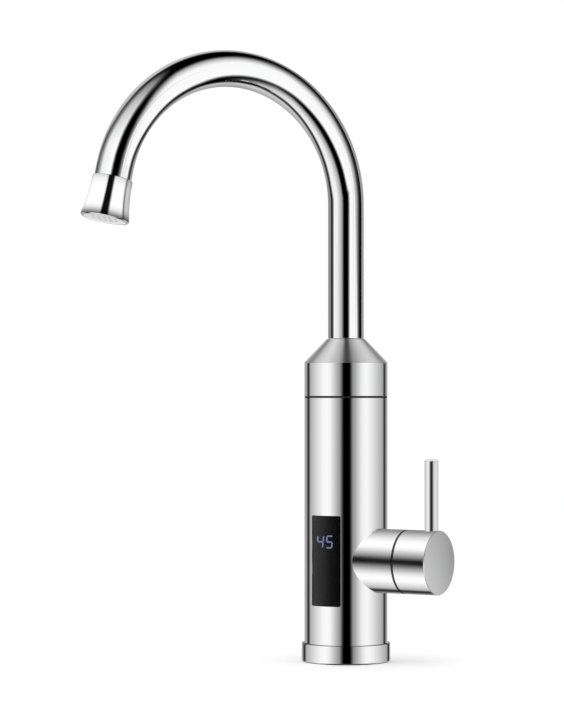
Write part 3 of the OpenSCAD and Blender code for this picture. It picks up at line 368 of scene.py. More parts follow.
def inner_marks(bend):
    """A grey rim, a thin dark line, and the narrow white cloth beside the first flag."""
    edge_in = between(
        bend, (0, 0.58), (25, 0.66), (60, 0.66), (90, 0.57), (105, 0.62), (125, 0.70), (140, 0.62),
        (167, 0.68),
    )
    rim_in = between(
        bend, (0, 0.55), (25, 0.62), (45, 0.76), (60, 0.80), (80, 0.84), (90, 0.77), (105, 0.76),
        (125, 0.62), (167, 0.60),
    )
    line_in = between(
        bend, (0, -0.78), (10, -0.82), (20, -0.82), (30, -0.80), (40, -0.765), (50, -0.72), (60, -0.68),
        (80, -0.65), (90, -0.675), (100, -0.715), (110, -0.75), (120, -0.80), (130, -0.84), (140, -0.88),
        (150, -0.895), (158, -0.865), (167, -0.83),
    )
    line_in_dark = between(
        bend, (0, 0.0), (15, 0.05), (60, 0.05), (80, 0.14), (90, 0.08), (97, 0.0), (120, 0.0),
        (130, 0.08), (167, 0.1),
    )
    cloth_in = between(
        bend, (0, -0.65), (10, -0.71), (25, -0.70), (40, -0.665), (50, -0.62), (60, -0.58), (80, -0.555),
        (90, -0.56), (100, -0.65), (110, -0.74), (120, -0.79), (145, -0.885), (167, -0.825),
    )
    mid_in = between(
        bend, (0, -0.225), (10, -0.25), (20, -0.30), (35, -0.35), (50, -0.34), (60, -0.30), (70, -0.345),
        (80, -0.45), (90, -0.50), (100, -0.62), (110, -0.73), (120, -0.785), (145, -0.88), (167, -0.82),
    )
    white_in = between(
        bend, (0, 0.97), (50, 0.95), (60, 0.92), (70, 0.84), (80, 0.67), (90, 0.26), (98, 0.0),
        (125, 0.0), (135, 0.2), (167, 0.2),
    )
    return [
        (-1.0, edge_in), (line_in - INNER_RIM, rim_in), (line_in, line_in_dark),
        (cloth_in, white_in), ((cloth_in + mid_in) / 2, white_in * 0.93), (mid_in, white_in * 0.66),
    ]


print("marks of the inner edge:", len(inner_marks(0.0)))

# %% The first flag and the broad cloth


def middle_marks(bend):
    """The first black flag, then the broad white cloth that fades to grey."""
    flag_low = between(
        bend, (0, -0.095), (10, -0.16), (30, -0.21), (50, -0.225), (60, -0.205), (70, -0.235),
        (80, -0.34), (90, -0.46), (100, -0.60), (110, -0.72), (120, -0.78), (145, -0.875), (167, -0.815),
    )
    flag_high = between(
        bend, (0, 0.10), (5, 0.06), (10, 0.03), (30, -0.07), (50, -0.145), (60, -0.165), (70, -0.21),
        (80, -0.305), (90, -0.43), (100, -0.56), (110, -0.71), (120, -0.775), (145, -0.87), (167, -0.81),
    )
    flag_dark = between(
        bend, (0, 0.0), (50, 0.0), (60, 0.08), (70, 0.20), (80, 0.13), (95, 0.0), (125, 0.0), (135, 0.2),
        (167, 0.2),
    )
    cloth_low = between(
        bend, (0, 0.235), (5, 0.18), (10, 0.15), (30, 0.05), (50, -0.01), (60, -0.03), (70, -0.095),
        (80, -0.18), (90, -0.28), (100, -0.40), (110, -0.555), (120, -0.65), (130, -0.72), (140, -0.775),
        (150, -0.79), (158, -0.76), (167, -0.72),
    )
    cloth_high = between(
        bend, (0, 0.36), (45, 0.46), (70, 0.51), (80, 0.44), (90, 0.37), (100, 0.25), (110, 0.15),
        (120, 0.05), (130, -0.14), (140, -0.35), (150, -0.47), (167, -0.54),
    )
    fade_mid = between(
        bend, (0, 0.62), (45, 0.67), (65, 0.69), (80, 0.65), (90, 0.60), (100, 0.525), (110, 0.42),
        (120, 0.31), (130, 0.07), (140, -0.14), (150, -0.28), (160, -0.345), (167, -0.35),
    )
    return [
        (flag_low, flag_dark), (flag_high, flag_dark), (cloth_low, 0.98), (cloth_high, 0.97),
        ((cloth_high + fade_mid) / 2, 0.85), (fade_mid, 0.63),
    ]


print("marks of the middle:", len(middle_marks(0.0)))

# %% The second flag and the outer edge
OUTER_RIM = 0.085


def outer_marks(bend):
    """The second black flag, the third cloth beyond it, the outer dark line and the outer rim."""
    second_low = between(
        bend, (0, 0.775), (10, 0.745), (30, 0.755), (45, 0.79), (60, 0.845), (75, 0.84), (90, 0.74),
        (100, 0.64), (110, 0.555), (120, 0.455), (130, 0.25), (140, 0.01), (150, -0.11), (160, -0.18),
    )
    second_high = between(
        bend, (0, 0.78), (20, 0.76), (45, 0.80), (60, 0.86), (80, 0.86), (100, 0.84), (112, 0.73),
        (120, 0.56), (130, 0.29), (140, 0.14), (150, 0.09), (160, 0.06),
    )
    second_dark = between(
        bend, (0, 0.05), (15, 0.2), (40, 0.14), (65, 0.04), (80, 0.0), (120, 0.0), (130, 0.09),
        (140, 0.0),
    )
    third = between(bend, (114, 0.0), (120, 0.03), (130, 0.57), (140, 0.80), (150, 0.91), (160, 1.0))
    third_low = between(
        bend, (80, 0.86), (100, 0.84), (120, 0.66), (130, 0.49), (140, 0.32), (150, 0.24), (160, 0.20),
    )
    third_high = between(
        bend, (0, 0.785), (60, 0.865), (100, 0.84), (120, 0.74), (140, 0.60), (150, 0.61), (160, 0.67),
    )
    third_fade = between(bend, (120, 0.84), (145, 0.88), (158, 0.93), (167, 0.93))
    line_out = between(
        bend, (0, 0.79), (10, 0.76), (30, 0.77), (45, 0.81), (60, 0.87), (75, 0.875), (90, 0.865),
        (100, 0.85), (125, 0.79), (140, 0.79), (150, 0.82), (160, 0.885), (167, 0.92),
    )
    line_dark = between(
        bend, (0, 0.05), (15, 0.2), (40, 0.14), (65, 0.03), (80, 0.0), (120, 0.0), (130, 0.05),
        (145, 0.26), (167, 0.32),
    )
    rim_out = between(
        bend, (0, 0.62), (30, 0.60), (60, 0.58), (90, 0.74), (110, 0.78), (150, 0.74), (167, 0.60),
    )
    return [
        (second_low, second_dark), (second_high, second_dark),
        (third_low, third), (third_high, third * third_fade),
        (line_out, line_dark), (line_out + OUTER_RIM, rim_out), (1.0, rim_out),
    ]


print("marks of the outer edge:", len(outer_marks(0.0)))

# %% Stripes across the tube


def spout_stripes(bend, s):
    """Brightness across the tube, as a display value from 0 to 1."""
    return ramped(s, inner_marks(bend) + middle_marks(bend) + outer_marks(bend))


def tube_light(bend, s):
    """The stripes, joined across the level directions where the outlet meets the upright tube."""
    past = smooth(bend, SWEEP_DEG, 180.0)
    at_end = spout_stripes(np.minimum(bend, SWEEP_DEG), s)
    return at_end * (1 - past) + spout_stripes(bend * 0, -s) * past


print("upright tube, from inside to outside:", tube_light(np.zeros(5), np.linspace(-0.8, 0.8, 5)).round(2))

# %% [markdown]
# The body, the collar above it and the base ring are upright and round, so one pattern serves
# all three: a black flag in the middle, a white cloth on each side, and a thin dark line near
# each edge. Patterns are written as they show on the screen, and the studio needs them as
# light, so a second function turns one into the other.

# %% Stripes across the body, the collar and the base ring


def body_light(s):
    """Brightness across upright pieces, from -1 at the left edge to 1 at the right."""
    return between(
        s, (-1, 0.72), (-0.95, 0.62), (-0.903, 0.10), (-0.86, 0.68), (-0.7, 0.85), (-0.56, 0.96),
        (-0.45, 0.98), (-0.38, 0.94), (-0.28, 0.79), (-0.14, 0.55), (-0.065, 0.0),
        (0.075, 0.0), (0.148, 0.55), (0.25, 0.73), (0.34, 0.89), (0.42, 0.955), (0.5, 0.965),
        (0.6, 0.91), (0.7, 0.82), (0.875, 0.65), (0.922, 0.12), (0.96, 0.61), (1, 0.72),
    )


def as_light(display):
    """Turns a display value into the light that shows as it."""
    return np.where(display < 0.04045, display / 12.92, ((display + 0.055) / 1.055) ** 2.4)


print("body: light at the middle and beside it", as_light(body_light(np.array([0, 0.5]))).round(3))

# %% [markdown]
# The dome is the spout's alone: every point of it is a direction, every direction belongs
# to one place on the tube, and the stripes give that place its brightness.

# %% Helpers for painted cards
# Chrome gives back a little less light than it gets, so the cards are that much brighter.
GAIN = 1.055


def grid_quads(rows, columns, around=False, closed=False):
    """Faces of a grid of points. Columns may go all the way around, and rows may close up too."""
    return [
        (i * columns + k, i * columns + (k + 1) % columns,
         (i + 1) % rows * columns + (k + 1) % columns, (i + 1) % rows * columns + k)
        for i in range(rows if closed else rows - 1)
        for k in range(columns if around else columns - 1)
    ]


def painted_mesh(name, verts, quads, values):
    """A mesh that carries one brightness per point, which its material reads."""
    mesh = mesh_from(name, verts, quads)
    paint = mesh.attributes.new("light", "FLOAT", "POINT")
    paint.data.foreach_set("value", np.asarray(values, dtype=np.float32))
    return mesh


def mirror_only(thing):
    """Marks a studio card that only reflections see."""
    thing.visible_camera = thing.visible_diffuse = thing.visible_shadow = False
    thing.visible_transmission = thing.visible_volume_scatter = False


def painted_light(tree):
    """A lamp-like surface, as bright as its points are painted."""
    painted = make(tree, "ShaderNodeAttribute", {"attribute_name": "light"})["Fac"]
    return make(tree, "ShaderNodeEmission", {}, {"Color": painted, "Strength": 1.0})["Emission"]


dome_paint, tree = blank_material("dome_paint")
make(tree, "ShaderNodeOutputMaterial", {}, {"Surface": painted_light(tree)})
print("card material:", dome_paint.name, "with", len(tree.nodes), "nodes")

# %% Paint the dome
# The dome is so far away that only a mirrored ray's direction counts. Its rings, first, last and
# step in degrees of rise, lie closest near the horizon, where the stripes crowd.
DOME_R = 80.0
TURNS = 720
RINGS_BY_RISE = ((-90, -12, 1.25), (-12, 0, 0.5), (0, 5, 0.25), (5, 12, 0.5), (12, 89, 1.25))
rings = np.concatenate([np.arange(*run) for run in RINGS_BY_RISE] + [[90.0]])
turns = np.arange(TURNS) * 2 * np.pi / TURNS
elevation, azimuth = (grid.ravel() for grid in np.meshgrid(np.radians(rings), turns, indexing="ij"))
level = np.cos(elevation)
out = np.stack([level * np.cos(azimuth), level * np.sin(azimuth), np.sin(elevation)], axis=-1)
shown = np.clip(tube_light(*place_on_tube(out)), 0, 1)

# The spout's flank faces one way all along the bend, so every bend angle meets there. A small
# white patch keeps their quarrel out of sight.
FLANK_TURN = -0.8
FLANK_RISE = (4, 7.5)
PATCH_DEG = 2.2
PATCH_WHITE = 0.98
beside = np.degrees(azimuth - 2 * np.pi * (azimuth > np.pi)) - FLANK_TURN
higher = np.clip(np.degrees(elevation), *FLANK_RISE) - np.degrees(elevation)
patch = np.exp(-(beside / PATCH_DEG) ** 2 - (higher / PATCH_DEG) ** 2)
light = GAIN * as_light(shown * (1 - patch) + PATCH_WHITE * patch)

dome_mesh = painted_mesh("dome", out * DOME_R, grid_quads(len(rings), TURNS, around=True), light)
mirror_only(new_object("dome", dome_mesh, dome_paint))
print("dome:", len(out), "points, mean light", round(float(light.mean()), 3))

# %% [markdown]
# ### Paper sleeves
# Product photographers wrap a shiny piece in a paper sleeve, so that it mirrors clean
# stripes and nothing of the room. Here only mirrors see the sleeves, so they can stand very
# close, 0.2 to 2.3 mm off the chrome. The body with its collar and base ring, the cone, the
# barrel, the lever and the outlet get one each. Only the inside is lit, and the outside is
# clear. The stripes are placed by shooting rays: camera, chrome, sleeve.

# %% Paper that is lit on one side


def axes(tree):
    """The three coordinates on the piece, in metres and by name: X, Y and Z."""
    return make(tree, "ShaderNodeSeparateXYZ", {}, {0: make(tree, "ShaderNodeTexCoord")["Object"]})


# The body's sleeve crosses the barrel, so the paper has a hole inside the barrel's own sleeve.
# Each pair says where an edge of the hole begins and ends to fade, in metres.
HOLE_ROUND = (0.019285, 0.019295)
HOLE_FROM_X = (0.0, 0.001)
HOLE_TO_X = (0.03, 0.0301)
one_sided, tree = blank_material("one_sided")
back = make(tree, "ShaderNodeNewGeometry")["Backfacing"]
x, y, z = axes(tree).values()
from_axis = (y * y + (z - BARREL_Z) * (z - BARREL_Z)) ** 0.5
in_barrel = (1 - from_axis.step(*HOLE_ROUND)) * x.step(*HOLE_FROM_X) * (1 - x.step(*HOLE_TO_X))
hidden = (back + in_barrel).math("MINIMUM", 1.0)
clear = make(tree, "ShaderNodeBsdfTransparent", {}, {"Color": (1, 1, 1, 1)})
mixed = make(tree, "ShaderNodeMixShader", {}, {0: hidden, 1: painted_light(tree), 2: clear["BSDF"]})
make(tree, "ShaderNodeOutputMaterial", {}, {"Surface": mixed["Shader"]})
print("paper:", len(tree.nodes), "nodes")

# %% Helpers for the sleeves
FARTHEST = 0.3
HALVINGS = 40


def bounce(points, normals):
    """Directions of camera rays after they bounce off these points."""
    view = unit(points - CAM_AT)
    return view - 2 * np.sum(view * normals, axis=-1, keepdims=True) * normals


def leave(points, away, beyond):
    """Where rays leave a sleeve, found by halving; beyond() is over 0 outside it."""
    near, far = np.zeros(len(points)), np.full(len(points), FARTHEST)
    for _ in range(HALVINGS):
        middle = (near + far) / 2
        out_there = beyond(points + middle[:, None] * away) > 0
        near, far = np.where(out_there, near, middle), np.where(out_there, middle, far)
    return points + far[:, None] * away


def face_towards(name, points, values, towards):
    """Makes a card from a grid of points, its lit side towards a point."""
    rows, columns = points.shape[:2]
    light = GAIN * as_light(values.ravel())
    mesh = painted_mesh(name, points.reshape(-1, 3), grid_quads(rows, columns), light)
    middle = mesh.polygons[len(mesh.polygons) // 2]
    if middle.normal.dot(Vector(towards) - middle.center) < 0:
        mesh.flip_normals()
    mirror_only(new_object(name, mesh, one_sided))
    print(name, "spans mm:", [round(1000 * float(v)) for v in np.ptp(points.reshape(-1, 3), axis=0)])


def compass(angle):
    """Level directions, by the angle from the camera's side, positive to the right."""
    return np.cos(angle)[..., None] * -FORWARD + np.sin(angle)[..., None] * RIGHT


def angle_of(points):
    """The angle of points, counted as compass does."""
    return np.arctan2(points @ RIGHT, points @ -FORWARD)


def turned_profile(name, profile, angle, values, axis=0 * UP):
    """A sleeve round an upright axis: radius and height pairs, one value per angle."""
    r = np.array([row[0] for row in profile])[:, None, None]
    z = np.array([row[1] for row in profile])[:, None, None]
    points = r * compass(angle)[None] + z * UP + axis
    face_towards(name, points, np.tile(values, (len(profile), 1)), axis + z.mean() * UP)


def wrapped(angle, seen_at, values):
    """Values by angle; the back, which this camera can't see, repeats the front."""
    limit = min(-seen_at[0], seen_at[-1])
    behind = np.sign(angle) * (np.pi - np.abs(angle)) * limit / (np.pi - limit)
    inside = np.where(np.abs(angle) > limit, behind, angle)
    return np.interp(inside, seen_at, values)


print("angle of the camera's own side:", angle_of(-FORWARD))

# %% A sleeve for the body, the collar and the base ring
SLEEVE_R = BODY_R + 2.2 * MM
SLEEVE_Z = (-0.003, 0.09, 0.1806)
ALL_ROUND = np.radians(np.linspace(-180, 180, 289))
round_body = np.radians(np.linspace(-89.3, 89.3, 500))
points = BODY_R * compass(round_body) + SLEEVE_Z[1] * UP
away = bounce(points, compass(round_body))
met = leave(points, away, lambda at: np.hypot(at[:, 0], at[:, 1]) - SLEEVE_R)
across = half_vector(unit(away * [1, 1, 0]), FORWARD) @ RIGHT
values = wrapped(ALL_ROUND, angle_of(met), body_light(across))
turned_profile("sleeve_body", [(SLEEVE_R, z) for z in SLEEVE_Z], ALL_ROUND, values)

# %% [markdown]
# The cone above the collar faces up, so it mirrors higher parts of the studio. Its sleeve
# leans in as the cone does, and its stripes are softer.

# %% A sleeve for the cone
CONE_Z = 0.1798
CONE_MID_R, CONE_MID_Z = 0.018, 0.1866
CONE_GAP = 0.5 * MM
CONE_SLEEVE = ((0.02616, 0.1793), (0.01871, 0.1871), (0.01175, 0.19438))
CONE_SLOPE = math.radians(43.3)
lean = np.array([math.cos(CONE_SLOPE), math.sin(CONE_SLOPE)])


def cone_light(s):
    """Brightness across the cone, from -1 left to 1 right."""
    return between(
        s, (-1, 0.72), (-0.93, 0.65), (-0.86, 0.50), (-0.78, 0.60), (-0.70, 0.75), (-0.5, 0.85),
        (-0.38, 0.80), (-0.2, 0.68), (-0.12, 0.55), (-0.07, 0.36), (0, 0.24), (0.07, 0.33), (0.13, 0.52),
        (0.22, 0.63), (0.35, 0.73), (0.5, 0.80), (0.62, 0.79), (0.72, 0.71), (0.80, 0.57), (0.86, 0.50),
        (0.93, 0.66), (1, 0.71),
    )


def past_cone_sleeve(at):
    """How far points are outside the cone's sleeve."""
    sideways, upwards = np.hypot(at[:, 0], at[:, 1]) - BODY_R, at[:, 2] - CONE_Z
    return sideways * lean[0] + upwards * lean[1] - CONE_GAP


round_cone = np.radians(np.linspace(-88, 88, 300))
points = CONE_MID_R * compass(round_cone) + CONE_MID_Z * UP
away = bounce(points, lean[0] * compass(round_cone) + lean[1] * UP)
met = leave(points, away, past_cone_sleeve)
values = wrapped(ALL_ROUND, angle_of(met), cone_light(np.sin(round_cone)))
turned_profile("sleeve_cone", CONE_SLEEVE, ALL_ROUND, values)

# %% [markdown]
# The barrel lies on its side, so its stripes run along it. They stand a few degrees higher
# near the body than at the cap, which turns them a little, as the lens sees them. Only the
# lowest line keeps its place.

# %% A sleeve for the barrel
BARREL_R = 19.1 * MM
BARREL_SLEEVE_R = 19.3 * MM
BARREL_MID_X = 0.045
BARREL_SLEEVE_X = (0.004, 0.016, 0.0643)
STRIPES_HIGHER = (5.3, 5.3, 2.6)
LOWEST_LINE = (-66, -46)


def barrel_light(tilt):
    """Brightness round the barrel, by the tilt of its surface in degrees, 0 facing front."""
    return between(
        tilt, (-84, 0.52), (-69, 0.53), (-66, 0.17), (-60, 0.22), (-56, 0.72), (-47, 0.86), (-36, 0.99),
        (-27, 0.98), (-20, 0.86), (-16, 0.75), (-9, 0.51), (-5.5, 0.30), (-3.6, 0.17), (-1, 0.09),
        (1.2, 0.11), (3.6, 0.20), (5.6, 0.38), (9.3, 0.57), (13, 0.69), (16.5, 0.79), (20.5, 0.89),
        (24, 0.97), (29, 1.0), (38, 0.985), (43, 0.93), (50, 0.85), (57, 0.74), (64, 0.63), (72, 0.55),
        (84, 0.52),
    )


def past_barrel_sleeve(at):
    """How far points are outside the barrel's sleeve."""
    return np.hypot(at[:, 1], at[:, 2] - BARREL_Z) - BARREL_SLEEVE_R


tilts = np.radians(np.linspace(-89, 89, 400))
normals = np.stack([0 * tilts, -np.cos(tilts), np.sin(tilts)], axis=-1)
points = BARREL_R * normals + [BARREL_MID_X, 0, BARREL_Z]
met = leave(points, bounce(points, normals), past_barrel_sleeve)
met_at = np.arctan2(met[:, 2] - BARREL_Z, -met[:, 1])
tilts_deg = np.degrees(tilts)
lifts = [higher * smooth(tilts_deg, *LOWEST_LINE) for higher in STRIPES_HIGHER]
values = np.array([wrapped(ALL_ROUND, met_at, barrel_light(tilts_deg - lift)) for lift in lifts])
x_grid, around = np.meshgrid(BARREL_SLEEVE_X, ALL_ROUND, indexing="ij")
y_grid, z_grid = -BARREL_SLEEVE_R * np.cos(around), BARREL_Z + BARREL_SLEEVE_R * np.sin(around)
points = np.stack([x_grid, y_grid, z_grid], axis=-1)
face_towards("sleeve_barrel", points, values, (0.03, 0.0, BARREL_Z))

# %% [markdown]
# The lever is a thin pin with a flat top. A sleeve serves its side, and a small pale card
# lies above its top.

# %% A sleeve for the lever, and a card above it
LEVER = np.array([58.8, 0.0, 0.0]) * MM
LEVER_R = 4.1 * MM
LEVER_SLEEVE_R = 4.5 * MM
LEVER_MID_Z = 0.1
LEVER_SLEEVE_Z = (0.0795, 0.1212)
LEVER_CARD_Z = 0.1228
LEVER_CARD_HALF = 7 * MM
LEVER_CARD_LIGHT = 0.87


def lever_light(s):
    """Brightness across the lever, from -1 left to 1 right."""
    return between(
        s, (-1, 0.72), (-0.8, 0.84), (-0.6, 0.91), (-0.45, 0.90), (-0.32, 0.72), (-0.2, 0.26),
        (-0.08, 0.12), (0.04, 0.17), (0.16, 0.58), (0.3, 0.82), (0.5, 0.87), (0.7, 0.86), (0.9, 0.76),
        (1, 0.74),
    )


round_lever = np.radians(np.linspace(-89, 89, 200))
points = LEVER_R * compass(round_lever) + LEVER + LEVER_MID_Z * UP
away = bounce(points, compass(round_lever))
met = leave(points, away, lambda at: np.hypot(at[:, 0] - LEVER[0], at[:, 1]) - LEVER_SLEEVE_R)
values = wrapped(ALL_ROUND, angle_of(met - LEVER), lever_light(np.sin(round_lever)))
turned_profile("sleeve_lever", [(LEVER_SLEEVE_R, z) for z in LEVER_SLEEVE_Z], ALL_ROUND, values, LEVER)

x_grid, y_grid = np.meshgrid([-LEVER_CARD_HALF, LEVER_CARD_HALF], [-LEVER_CARD_HALF, LEVER_CARD_HALF])
points = np.stack([LEVER[0] + x_grid, y_grid, 0 * x_grid + LEVER_CARD_Z], axis=-1)
face_towards("card_lever_end", points, LEVER_CARD_LIGHT + 0 * x_grid, (LEVER[0], 0.0, LEVER_MID_Z))

# %% [markdown]
# The flat end of the cap mirrors one way only, so a card stands there, square to the rays. It
# is a little brighter towards one side and darker towards the top, as such a face is.

# %% A card for the end of the cap
CAP_END = np.array([0.0641, 0.0, BARREL_Z])
CARD_AWAY = 0.022
CARD_SIDE, CARD_LOW, CARD_HIGH = 0.016, -0.024, 0.022
# The brightness in the middle, how it grows and bends over one step sideways, and how much it
# falls per metre upwards.
CARD_STEP = 0.0102
CARD_GREY, CARD_SLOPE, CARD_CROWN, CARD_FALL = 0.705, 0.08, 0.03, 2.0
end_out = unit(FORWARD - 2 * FORWARD[0] * np.array([1.0, 0, 0]))
end_side = np.cross(end_out, UP)
side, height = np.meshgrid(np.linspace(-CARD_SIDE, CARD_SIDE, 13), np.linspace(CARD_LOW, CARD_HIGH, 5))
steps = side / CARD_STEP
points = CAP_END + CARD_AWAY * end_out + side[..., None] * end_side + height[..., None] * UP
values = CARD_GREY + CARD_SLOPE * steps - CARD_CROWN * steps ** 2 - CARD_FALL * height
face_towards("card_cap_end", points, values, CAP_END)

# %% [markdown]
# The flared outlet gets its own sleeve as well. It is white with one black stripe, and it
# darkens towards the rim, where the real flare begins to mirror the basin.

# %% A sleeve for the outlet
# Places along the outlet from neck to rim, and the brightness there. The radii are in mm.
FLARE_AT = np.array([0, 0.06, 0.12, 0.25, 0.5, 0.7, 0.78, 0.84, 0.88, 0.92, 0.96, 1.0])
FLARE_LIGHT = np.array([0.80, 0.90, 0.95, 1.0, 1.0, 1.0, 0.96, 0.87, 0.77, 0.63, 0.47, 0.3])
NECK_R, FLARE_WIDER, FLARE_GAP = 11.7, 2.3, 0.3


def outlet_light(s):
    """Brightness across the outlet, from -1 left to 1 right."""
    return between(
        s, (-1, 0.86), (-0.93, 0.96), (-0.85, 1.0), (-0.19, 1.0), (-0.15, 0.82), (-0.11, 0.15),
        (-0.07, 0.06), (0.10, 0.06), (0.14, 0.2), (0.19, 0.8), (0.23, 1.0), (0.68, 1.0), (0.73, 0.88),
        (0.78, 0.46), (0.83, 0.72), (0.88, 0.82), (1, 0.7),
    )


spout_end = bend_middle(np.array([BEND_SWEEP]))[0]
down = math.sin(BEND_SWEEP) * REACH + math.cos(BEND_SWEEP) * UP
housing = nodes["outlet_housing"]
corners = np.array([housing.matrix_world @ v.co for v in housing.data.vertices])
axial = (corners - spout_end) @ down
flare_r = (NECK_R + FLARE_WIDER * FLARE_AT ** 2 + FLARE_GAP) * MM
toward = unit(FORWARD @ down * down - FORWARD)
to_right = np.cross(toward, down)
to_right *= np.sign(to_right @ RIGHT)
turn_row = np.cos(ALL_ROUND)[:, None] * toward + np.sin(ALL_ROUND)[:, None] * to_right
axis_row = spout_end + (axial.min() + FLARE_AT * np.ptp(axial))[:, None] * down
points = axis_row[:, None] + flare_r[:, None, None] * turn_row[None]
values = FLARE_LIGHT[:, None] * outlet_light(np.sin(ALL_ROUND))
face_towards("sleeve_outlet", points, values, axis_row.mean(axis=0))

# %% [markdown]
# From above, the arch would look through a sleeve's clear side at its lit inside. A core
# hides that: a plain shape just under the chrome, dark in the body and white in the outlet.
# The dark one has a thin brim, which closes the slit at the top of the body's sleeve.

# %% Cores
# Pairs of radius and height, in mm.
CORE_PROFILE = ((24.8, 0.5), (24.8, 179.4), (24.8, 179.76), (27.15, 179.78), (24.8, 179.8), (11.2, 193.6))
CORE_UNDER = 0.5 * MM
CORE_DARK, CORE_WHITE = 0.01, 0.95


def core(name, points, value):
    """A shape of one brightness that only mirrors see."""
    rows, columns = points.shape[:2]
    values = np.full(rows * columns, value)
    mesh = painted_mesh(name, points.reshape(-1, 3), grid_quads(rows, columns), values)
    mirror_only(new_object(name, mesh, dome_paint))
    print(name, "light", value)


core_rows = np.array(CORE_PROFILE) * MM
core("core_body", core_rows[:, :1, None] * compass(ALL_ROUND)[None] + core_rows[:, 1:, None] * UP, CORE_DARK)
core("core_outlet", axis_row[:, None] + (flare_r[:, None, None] - CORE_UNDER) * turn_row[None], CORE_WHITE)

# %% [markdown]
# ## Finishes
# Every slot of the record gets a material with its own grain. All of them start from the
# same two helpers: a principled shader with its plain values, and noise that is measured
# in metres on the piece, so that a scale of 1000 is a grain of about a millimetre.


# %% Helpers for the finishes
def principled(name, colour, metallic, roughness, **constants):
    """A material with one principled shader; constants are set on its own sockets."""
    material, tree = blank_material(name)
    values = {"Base Color": (*colour, 1), "Metallic": metallic, "Roughness": roughness}
    values.update({key.replace("_", " "): value for key, value in constants.items()})
    surface = make(tree, "ShaderNodeBsdfPrincipled", {}, values)["BSDF"]
    make(tree, "ShaderNodeOutputMaterial", {}, {"Surface": surface})
    return material, tree, surface.socket.node


def on_piece(tree, stretch=(1, 1, 1)):
    """Metres on the piece itself, squeezed along an axis for drawn or turned grain."""
    where = make(tree, "ShaderNodeTexCoord")["Object"]
    return make(tree, "ShaderNodeVectorMath", {"operation": "MULTIPLY"}, {0: where, 1: stretch})["Vector"]


def grain(tree, scale, stretch=(1, 1, 1), detail=3.0):
    """Noise from 0 to 1, most of it near a half."""
    values = {"Vector": on_piece(tree, stretch), "Scale": scale, "Detail": detail}
    return make(tree, "ShaderNodeTexNoise", {}, values)["Fac"]


def blend_colours(tree, factor, first, second):
    """From the first colour to the second as factor goes from 0 to 1."""
    values = {"Factor": factor, 6: (*first, 1), 7: (*second, 1)}
    return make(tree, "ShaderNodeMix", {"data_type": "RGBA"}, values)["Result"]


def bump(tree, shader, height, distance):
    """Raises the surface by height times distance, in metres."""
    raised = make(tree, "ShaderNodeBump", {}, {"Height": height, "Strength": 1.0, "Distance": distance})
    put(tree, shader.inputs["Normal"], raised["Normal"])


materials = {}

# %% [markdown]
# ### Chrome
# Bright chrome is a mirror. What tells it from a perfect one is a faint haze of polishing
# lines, so only its roughness wavers. The collar's cone and the barrel are finished
# softer, which the blurred edges of their stripes show, and the end of the cap is
# spun: very fine rings round its middle, slightly crowned.

# %% Chrome
CHROME = (0.955, 0.955, 0.96)
# The dark colour painted into chrome beside gaps, as painted shade.
PAINTED_GAP_SHADE = (0.03, 0.03, 0.03)


def upright_haze(tree):
    """Roughness of polishing lines that run up the piece."""
    return grain(tree, 900.0, (1, 1, 0.15)) * 0.02 + 0.012


def paint_gap_shade(tree, shader, mask):
    """Paints the chrome's colour dark where the mask is 1: a painted reflection of the dark gap beside it, as
    painted shade that the studio's sleeves can't show.
    """
    put(tree, shader.inputs["Base Color"], blend_colours(tree, mask, CHROME, PAINTED_GAP_SHADE))


materials["chrome"], tree, shader = principled("chrome", CHROME, 1.0, 0.03)
put(tree, shader.inputs["Roughness"], upright_haze(tree))

# Painted shade: the ring's colour darkens just under its top, and the collar's just above the seam, as
# painted reflections of the dark gaps there.
RING_SHADE_BAND = (0.0109, 0.0111)
chrome_ring, tree, shader = principled("chrome_ring", CHROME, 1.0, 0.03)
put(tree, shader.inputs["Roughness"], upright_haze(tree))
paint_gap_shade(tree, shader, axes(tree)["Z"].step(*RING_SHADE_BAND) * 0.7)

COLLAR_SHADE_BAND = (0.15960, 0.15970)
chrome_collar, tree, shader = principled("chrome_collar", CHROME, 1.0, 0.03)
z = axes(tree)["Z"]
on_cone = z.step(CONE_Z - 0.0001, CONE_Z + 0.0002)
put(tree, shader.inputs["Roughness"], upright_haze(tree) + on_cone * 0.13)
paint_gap_shade(tree, shader, 1 - z.step(*COLLAR_SHADE_BAND))
print("finishes:", ", ".join(materials), "and", chrome_ring.name, chrome_collar.name)

# %% Chrome of the barrel and its cap
BARREL_SHADE_BAND = (0.04175, 0.04195)
CAP_SHADE_BAND = (0.04325, 0.04345)
CAP_FACE_X = 0.0640
CROWN = 0.8
SPUN_PITCH = 0.0003
SPUN_DEEP = 0.0000012


def level_haze(tree):
    """Roughness of polishing lines that run along the barrel."""
    return grain(tree, 700.0, (0.15, 1, 1)) * 0.03 + 0.045


chrome_barrel, tree, shader = principled("chrome_barrel", CHROME, 1.0, 0.06)
put(tree, shader.inputs["Roughness"], level_haze(tree))
# Painted shade: the barrel's colour darkens at its end beside the gap to the cap.
paint_gap_shade(tree, shader, axes(tree)["X"].step(*BARREL_SHADE_BAND))

chrome_cap, tree, shader = principled("chrome_cap", CHROME, 1.0, 0.1)
x, y, z = axes(tree).values()
on_face = x.step(CAP_FACE_X - 0.0002, CAP_FACE_X)
put(tree, shader.inputs["Roughness"], level_haze(tree) + on_face * 0.16)
# Painted shade: the cap's colour darkens at its end beside the gap to the barrel.
paint_gap_shade(tree, shader, 1 - x.step(*CAP_SHADE_BAND))
from_middle = z - BARREL_Z
radius_2 = y * y + from_middle * from_middle
spun_rings = (radius_2 ** 0.5 * (2 * math.pi / SPUN_PITCH)).math("SINE") * SPUN_DEEP
bump(tree, shader, (radius_2 * -CROWN + spun_rings) * on_face, 1.0)
print("finishes:", chrome_barrel.name, chrome_cap.name, "with", len(tree.nodes), "nodes")

# %% [markdown]
# ### Steel and brass
# The clamp washer, screws and heating chamber are stainless steel: greyer than chrome,
# with a drawn grain. The shank, nut and valve are machined brass. A turning tool leaves
# fine rings round the piece, and brass also darkens a little in patches.

